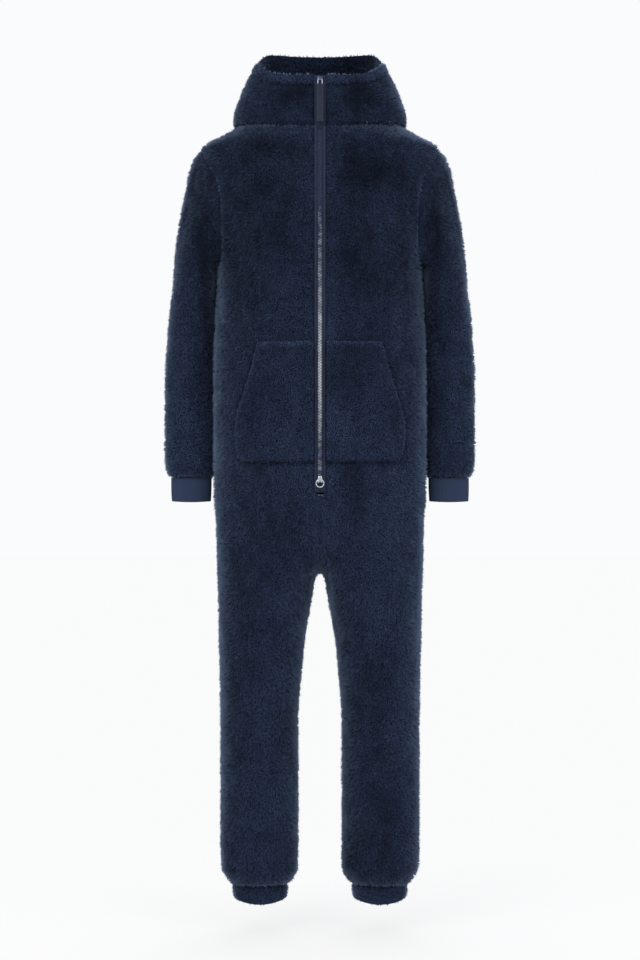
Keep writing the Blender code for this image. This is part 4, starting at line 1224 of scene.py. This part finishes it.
def wire(name, path, radius, closed=False, sides=10):
    """A round wire along a path."""
    path = np.array(path, float)
    ahead, behind = np.roll(path, -1, axis=0), np.roll(path, 1, axis=0)
    if not closed:
        ahead[-1], behind[0] = path[-1], path[0]
    along = unit(ahead - behind)
    flat = np.array([1.0, 0, 0]) if np.ptp(path[:, 0]) < 1e-6 else np.array([0, 1.0, 0])
    other = unit(np.cross(along, flat))
    rings = np.stack([path + radius * (np.cos(turn) * flat + np.sin(turn) * other)
                      for turn in circle(sides)], axis=1)
    if not closed:
        return lofted(name, rings)
    faces = grid_faces(len(path), sides, along=True)[1]
    return face_out(mesh_object(name, rings.reshape(-1, 3), faces))


def copies(name, shape, faces, places, frames):
    """Many copies of a small shape joined in one mesh; frames are the copies' three axes."""
    points = np.einsum("vk,nkj->nvj", shape, frames) + places[:, None]
    joined = faces[None] + len(shape) * np.arange(len(places))[:, None, None]
    return face_out(mesh_object(name, points.reshape(-1, 3), joined.reshape(-1, faces.shape[1])))


def rounded_block(size, bevel):
    """Corner points and triangles of a block with cut edges."""
    shape = bmesh.new()
    bmesh.ops.create_cube(shape, size=1.0)
    bmesh.ops.scale(shape, vec=size, verts=shape.verts)
    bmesh.ops.bevel(shape, geom=shape.edges, offset=bevel, segments=1, affect="EDGES")
    bmesh.ops.triangulate(shape, faces=shape.faces)
    shape.verts.index_update()
    points = np.array([vert.co for vert in shape.verts])
    faces = np.array([[vert.index for vert in face.verts] for face in shape.faces])
    shape.free()
    return points, faces


def stitch_shape(length, radius):
    turns = np.pi / 2 * np.arange(4) + np.pi / 4
    ring = [(radius * np.cos(a), radius * 0.7 * np.sin(a)) for a in turns]
    points = [(x, y, z) for z in (-length * 0.3, length * 0.3) for x, y in ring]
    points = [(0, 0, -length / 2), *points, (0, 0, length / 2)]
    faces = []
    for k in range(4):
        n = (k + 1) % 4
        faces += [[0, 1 + n, 1 + k], [1 + k, 1 + n, 5 + n],
                  [1 + k, 5 + n, 5 + k], [5 + k, 5 + n, 9]]
    return np.array(points, float), np.array(faces)


def sew(name, paths, outs, body="root", length=2.7, gap=1.3, radius=0.42):
    """Rows of stitches along the paths; outs are the ways the cloth faces on them."""
    places, frames = [], []
    for path, out in zip(paths, outs):
        path = np.array(path, float)
        lengths = np.cumsum(np.linalg.norm(np.diff(path, axis=0), axis=1))
        lengths = np.concatenate([[0], lengths])
        at = np.arange((length + gap) / 2, lengths[-1], length + gap)
        along = unit(read_rows(at + 0.5, lengths, path) - read_rows(at - 0.5, lengths, path))
        across = unit(np.cross(along, (0, out, 0)))
        frames.append(np.stack([across, np.cross(across, along), along], axis=1))
        places.append(read_rows(at, lengths, path))
    obj = copies(name, *stitch_shape(length, radius), np.concatenate(places),
                 np.concatenate(frames))
    return dress(obj, "thread", "tape", body=body)


def plate(name, outline, front, back, bevel):
    """A flat plate of an outline in x and z, with rounded edges."""
    shape = bmesh.new()
    face = shape.faces.new([shape.verts.new((x * MM, front * MM, z * MM)) for x, z in outline])
    grown = bmesh.ops.extrude_face_region(shape, geom=[face])
    moved = [item for item in grown["geom"] if isinstance(item, bmesh.types.BMVert)]
    bmesh.ops.translate(shape, vec=(0, (back - front) * MM, 0), verts=moved)
    bmesh.ops.recalc_face_normals(shape, faces=shape.faces)
    sharp = [edge for edge in shape.edges if edge.calc_face_angle(0) > 1.0]
    bmesh.ops.bevel(shape, geom=sharp, offset=bevel * MM, segments=2, profile=0.5, affect="EDGES")
    mesh = bpy.data.meshes.new(name)
    shape.to_mesh(mesh)
    shape.free()
    mesh.shade_smooth()
    return add_object(name, mesh)


# ---------------------------------------------------------------- zip

def centre_line(shaped, hood):
    """Heights along the zip, and how far forward the cloth lies there."""
    body = shaped["front", 1][0][:, 0]
    line = np.concatenate([hood[::-1, 0], body[body[:, 2] > ZIP_CLOSED_Z - 1]])
    line = line[np.argsort(line[:, 2])]
    return line[:, 2], line[:, 1]


def make_chain(line):
    top = UPPER_SLIDER_Z - SLIDER_LENGTH / 2 - SEAM_GAP
    bottom = LOWER_SLIDER_Z + SLIDER_LENGTH / 2 + SEAM_GAP
    places, frames = [], []
    for side, first in ((1, 1.2), (-1, 1.2 + TOOTH_PITCH / 2)):
        z = np.arange(bottom + first, top - 0.8, TOOTH_PITCH)
        slope = (np.interp(z + 2, *line) - np.interp(z - 2, *line)) / 4
        up = unit(np.stack([0 * z, slope, np.ones_like(z)], axis=1))
        right = np.tile([1.0, 0, 0], (len(z), 1))
        frames.append(np.stack([right, np.cross(up, right), up], axis=1))
        places.append(np.stack([0 * z + side * 1.6, np.interp(z, *line) + 0.75, z], axis=1))
    chain = copies("zip_teeth", *rounded_block(TOOTH, 0.3), np.concatenate(places),
                   np.concatenate(frames))
    dress(chain, "chain", "metal", "zip_chain")


def make_tapes(line, top):
    """Woven strips with a bead along the teeth."""
    z = np.arange(top, ZIP_END_Z, -5.0)
    y = np.interp(z, *line) + TAPE_RECESS
    profile = [(0.15, 0.5), (0.9, 0.1), (2.0, -0.35), (3.1, -0.35), (4.0, 0.0), (4.5, 0.35),
               (6.0, 0.4), (8.5, 0.4), (11.0, 0.4), (11.2, 1.5), (6.0, 1.6), (0.15, 1.6)]
    for side, hand in HANDS.items():
        sections = np.array([[(side * px, depth + py, height) for px, py in profile]
                             for height, depth in zip(z, y)])
        tape = lofted(f"cloth_zip_tape_{hand}", sections)
        dress(tape, "tape", "tape", f"zip_tape_{hand}")


def shield(top, low, length, middle_z, up):
    """The outline of a slider's plate: two lobes at the wide end, a blunt narrow end."""
    half = length / 2
    points = [(low / 2, -half), (low / 2 + 0.2, -half * 0.35), (top / 2, half * 0.25),
              (top / 2, half * 0.75), (top * 0.36, half), (top * 0.12, half * 0.82)]
    points += [(-x, z) for x, z in points[::-1]]
    return [(x, middle_z + up * z) for x, z in points]


def make_slider(name, line, z, up, look):
    """A slider's two plates and its bridge; gives the depth at which the pull turns."""
    surface = np.interp(z + SLIDER_LENGTH / 2 * np.arange(-1, 2), *line).min()
    back = surface + TAPE_RECESS - SEAM_GAP
    front = back - SLIDER_HEIGHT
    middle = front + 1.5
    outline = shield(10.4, 7.0, SLIDER_LENGTH, z, up)
    inner = shield(9.6, 6.2, SLIDER_LENGTH - 1.0, z, up)
    dress(plate(f"{name}_plate", outline, front, middle, 0.45), look, "metal", name)
    dress(plate(f"{name}_core", inner, middle, back, 0.3), look, "metal")
    arch = [(0, front - (BRIDGE_REACH - 0.6) * np.sin(t), z - BRIDGE_HALF * np.cos(t))
            for t in np.linspace(0, np.pi, 17)]
    ends = [(0, front + 0.8, z + way * BRIDGE_HALF) for way in (-1, 1)]
    dress(wire(f"{name}_bridge", ends[:1] + arch + ends[1:], BRIDGE_WIRE), look, "metal")
    return front - BRIDGE_REACH / 2


def make_upper_pull(axis_y, z):
    half = LINK_WIDTH / 2 - LINK_CORNER
    low_z = LINK_CORNER - LINK_LENGTH
    outline = [(x + LINK_CORNER * np.cos(turn), axis_y, z + middle_z + LINK_CORNER * np.sin(turn))
               for x, middle_z, first in ((half, -LINK_CORNER, 0), (-half, -LINK_CORNER, 90),
                                          (-half, low_z, 180), (half, low_z, 270))
               for turn in np.radians(np.linspace(first, first + 90, 7))]
    dress(wire("pull_upper_link", outline, LINK_WIRE, closed=True), "metal", "metal",
          body="upper_pull")
    top = z - LINK_LENGTH + 3.0
    low = top - TAB_LENGTH
    turns = circle(28)
    shares = np.concatenate([[0, 0.006, 0.015, 0.03], np.linspace(0.05, 0.95, 22),
                             [0.97, 0.985, 0.994, 1]])
    sections = []
    for share in shares:
        near = min(share, 1 - share) * TAB_LENGTH  # to the nearer end, where the tab is blunt
        blunt = min(1.0, 0.55 + 0.45 * (near / 1.6) ** 0.5)
        thick = TAB_WALL / 2 * blunt * (1.0 if near > 6 else 0.92)
        wide = TAB_WIDTH / 2 * (1 - 0.10 * (1 - min(1.0, near / 1.2)))
        sections.append(np.stack([
            wide * power(np.cos(turns), 0.35), axis_y + thick * power(np.sin(turns), 0.5),
            0 * turns + top + (low - top) * share], axis=-1))
    dress(lofted("pull_upper_tab", np.array(sections)), "tab", "tape", "pull_upper",
          body="upper_pull")
    inset = TAB_WIDTH / 2 - 1.8
    depth = TAB_WALL / 2 - 0.05
    edge = [(-inset, top - 3), (-inset, low + 2.4), (inset, low + 2.4), (inset, top - 3),
            (-inset, top - 3)]
    cross = [(-inset, low + 9), (inset, low + 9)]
    rows = ((edge, -1.0), (cross, -1.0), (edge, 1.0))
    sew("pull_upper_stitches", [[(x, axis_y + out * depth, height) for x, height in row]
                                for row, out in rows],
        [out for _, out in rows], body="upper_pull", length=1.9, gap=0.8, radius=0.32)


def make_lower_pull(axis_y, z):
    ring = [(RING_RADIUS * np.sin(t), axis_y, z - RING_RADIUS + RING_RADIUS * np.cos(t))
            for t in circle(48)]
    dress(wire("pull_lower_ring", ring, RING_WIRE, closed=True, sides=12), "metal", "metal",
          "pull_lower", body="lower_pull")


def make_zip(shaped, hood):
    line = centre_line(shaped, hood)
    top = float(hood[-1, 0, 2]) - RIM_BELOW_TOP
    make_tapes(line, top)
    make_chain(line)
    # the upper slider takes the chain's look, so it carries the painted dark reflection too
    make_upper_pull(make_slider("slider_upper", line, UPPER_SLIDER_Z, 1, "chain"), UPPER_SLIDER_Z)
    make_lower_pull(make_slider("slider_lower", line, LOWER_SLIDER_Z, -1, "metal"), LOWER_SLIDER_Z)
    y = np.interp(ZIP_END_Z, *line) + 0.4
    bars = [[(x, y, ZIP_END_Z + up) for x in (-4.5, 4.5)] for up in np.arange(1.0, -2.0, -0.75)]
    sew("zip_tack", bars, [-1.0] * len(bars), length=5.2, gap=0.2, radius=0.5)
    z = np.arange(top - 3, ZIP_END_Z + 6, -4.0)
    depth = np.interp(z, *line) + TAPE_RECESS + 0.3
    rows = [np.stack([0 * z + x, depth, z], axis=1) for x in (-STITCHES_X, STITCHES_X)]
    sew("zip_stitches", rows, [-1.0] * 2)


# ---------------------------------------------------------------- studio

FLOOR_Z = -1.600
FLOOR_RADIUS = 25.0


def make_studio():
    scene = bpy.context.scene
    scene.view_settings.view_transform = "Standard"
    camera = add_object("camera", bpy.data.cameras.new("camera"))
    camera.location = (0, -5.0, -0.709)
    camera.rotation_euler = (np.pi / 2, 0, 0)
    camera.data.lens = 94.7
    camera.data.sensor_width = 36
    scene.camera = camera
    world = bpy.data.worlds.new("studio")
    world.use_nodes = True
    background = world.node_tree.nodes["Background"]
    background.inputs["Color"].default_value = (0.96, 0.965, 0.975, 1)
    background.inputs["Strength"].default_value = 1.0
    scene.world = world
    turns = circle(64)
    disc = np.stack([FLOOR_RADIUS * np.cos(turns), FLOOR_RADIUS * np.sin(turns),
                     0 * turns + FLOOR_Z], axis=1) / MM
    fan = np.array([[0, k, k + 1] for k in range(1, 63)])
    floor = mesh_object("floor", disc, fan, smooth=False)
    look = Look("floor", Base_Color=(0.78, 0.78, 0.785, 1), Roughness=0.9, Specular_IOR_Level=0.0)
    # the floor glows, fully far out and at 72 % under the garment: painted light that washes out
    # the garment's shadow
    away = look.node("VectorMath", "Value", {0: look.place()}, operation="LENGTH")
    glow = look.node("Emission", 0, {"Color": (0.955, 0.958, 0.962, 1)})
    faded = look.node("MixShader", 0, {
        0: look.ramp(away, 1.65, 2.1, 0.72, 1.0), 1: look.shader.outputs[0], 2: glow})
    look.put(faded, look.nodes["Material Output"].inputs["Surface"])
    floor.data.materials.append(look.made)
    for name, place, size, energy, colour in (
            ("key", (-1.8, -3.2, 1.6), 2.2, 60, (1.0, 0.99, 0.97)),
            ("fill", (2.4, -3.0, 0.6), 2.2, 34, (0.97, 0.98, 1.0)),
            ("back", (0.4, 3.0, 1.8), 2.6, 55, (0.97, 0.98, 1.0))):
        lamp = add_object(name, bpy.data.lights.new(name, "AREA"))
        lamp.data.size, lamp.data.energy, lamp.data.color = size, energy, colour
        lamp.location = place
        aim = mathutils.Vector((0, 0, -0.7)) - lamp.location
        lamp.rotation_euler = aim.to_track_quat("-Z", "Y").to_euler()


def main():
    make_looks()
    make_studio()
    grids, shaped = shape_body()
    make_panels(shaped)
    make_sleeves(grids)
    make_ankles()
    make_wrists()
    make_pockets(shaped)
    make_zip(shaped, make_hood(grids))


for leftover in list(bpy.data.objects):
    bpy.data.objects.remove(leftover)
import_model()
main()
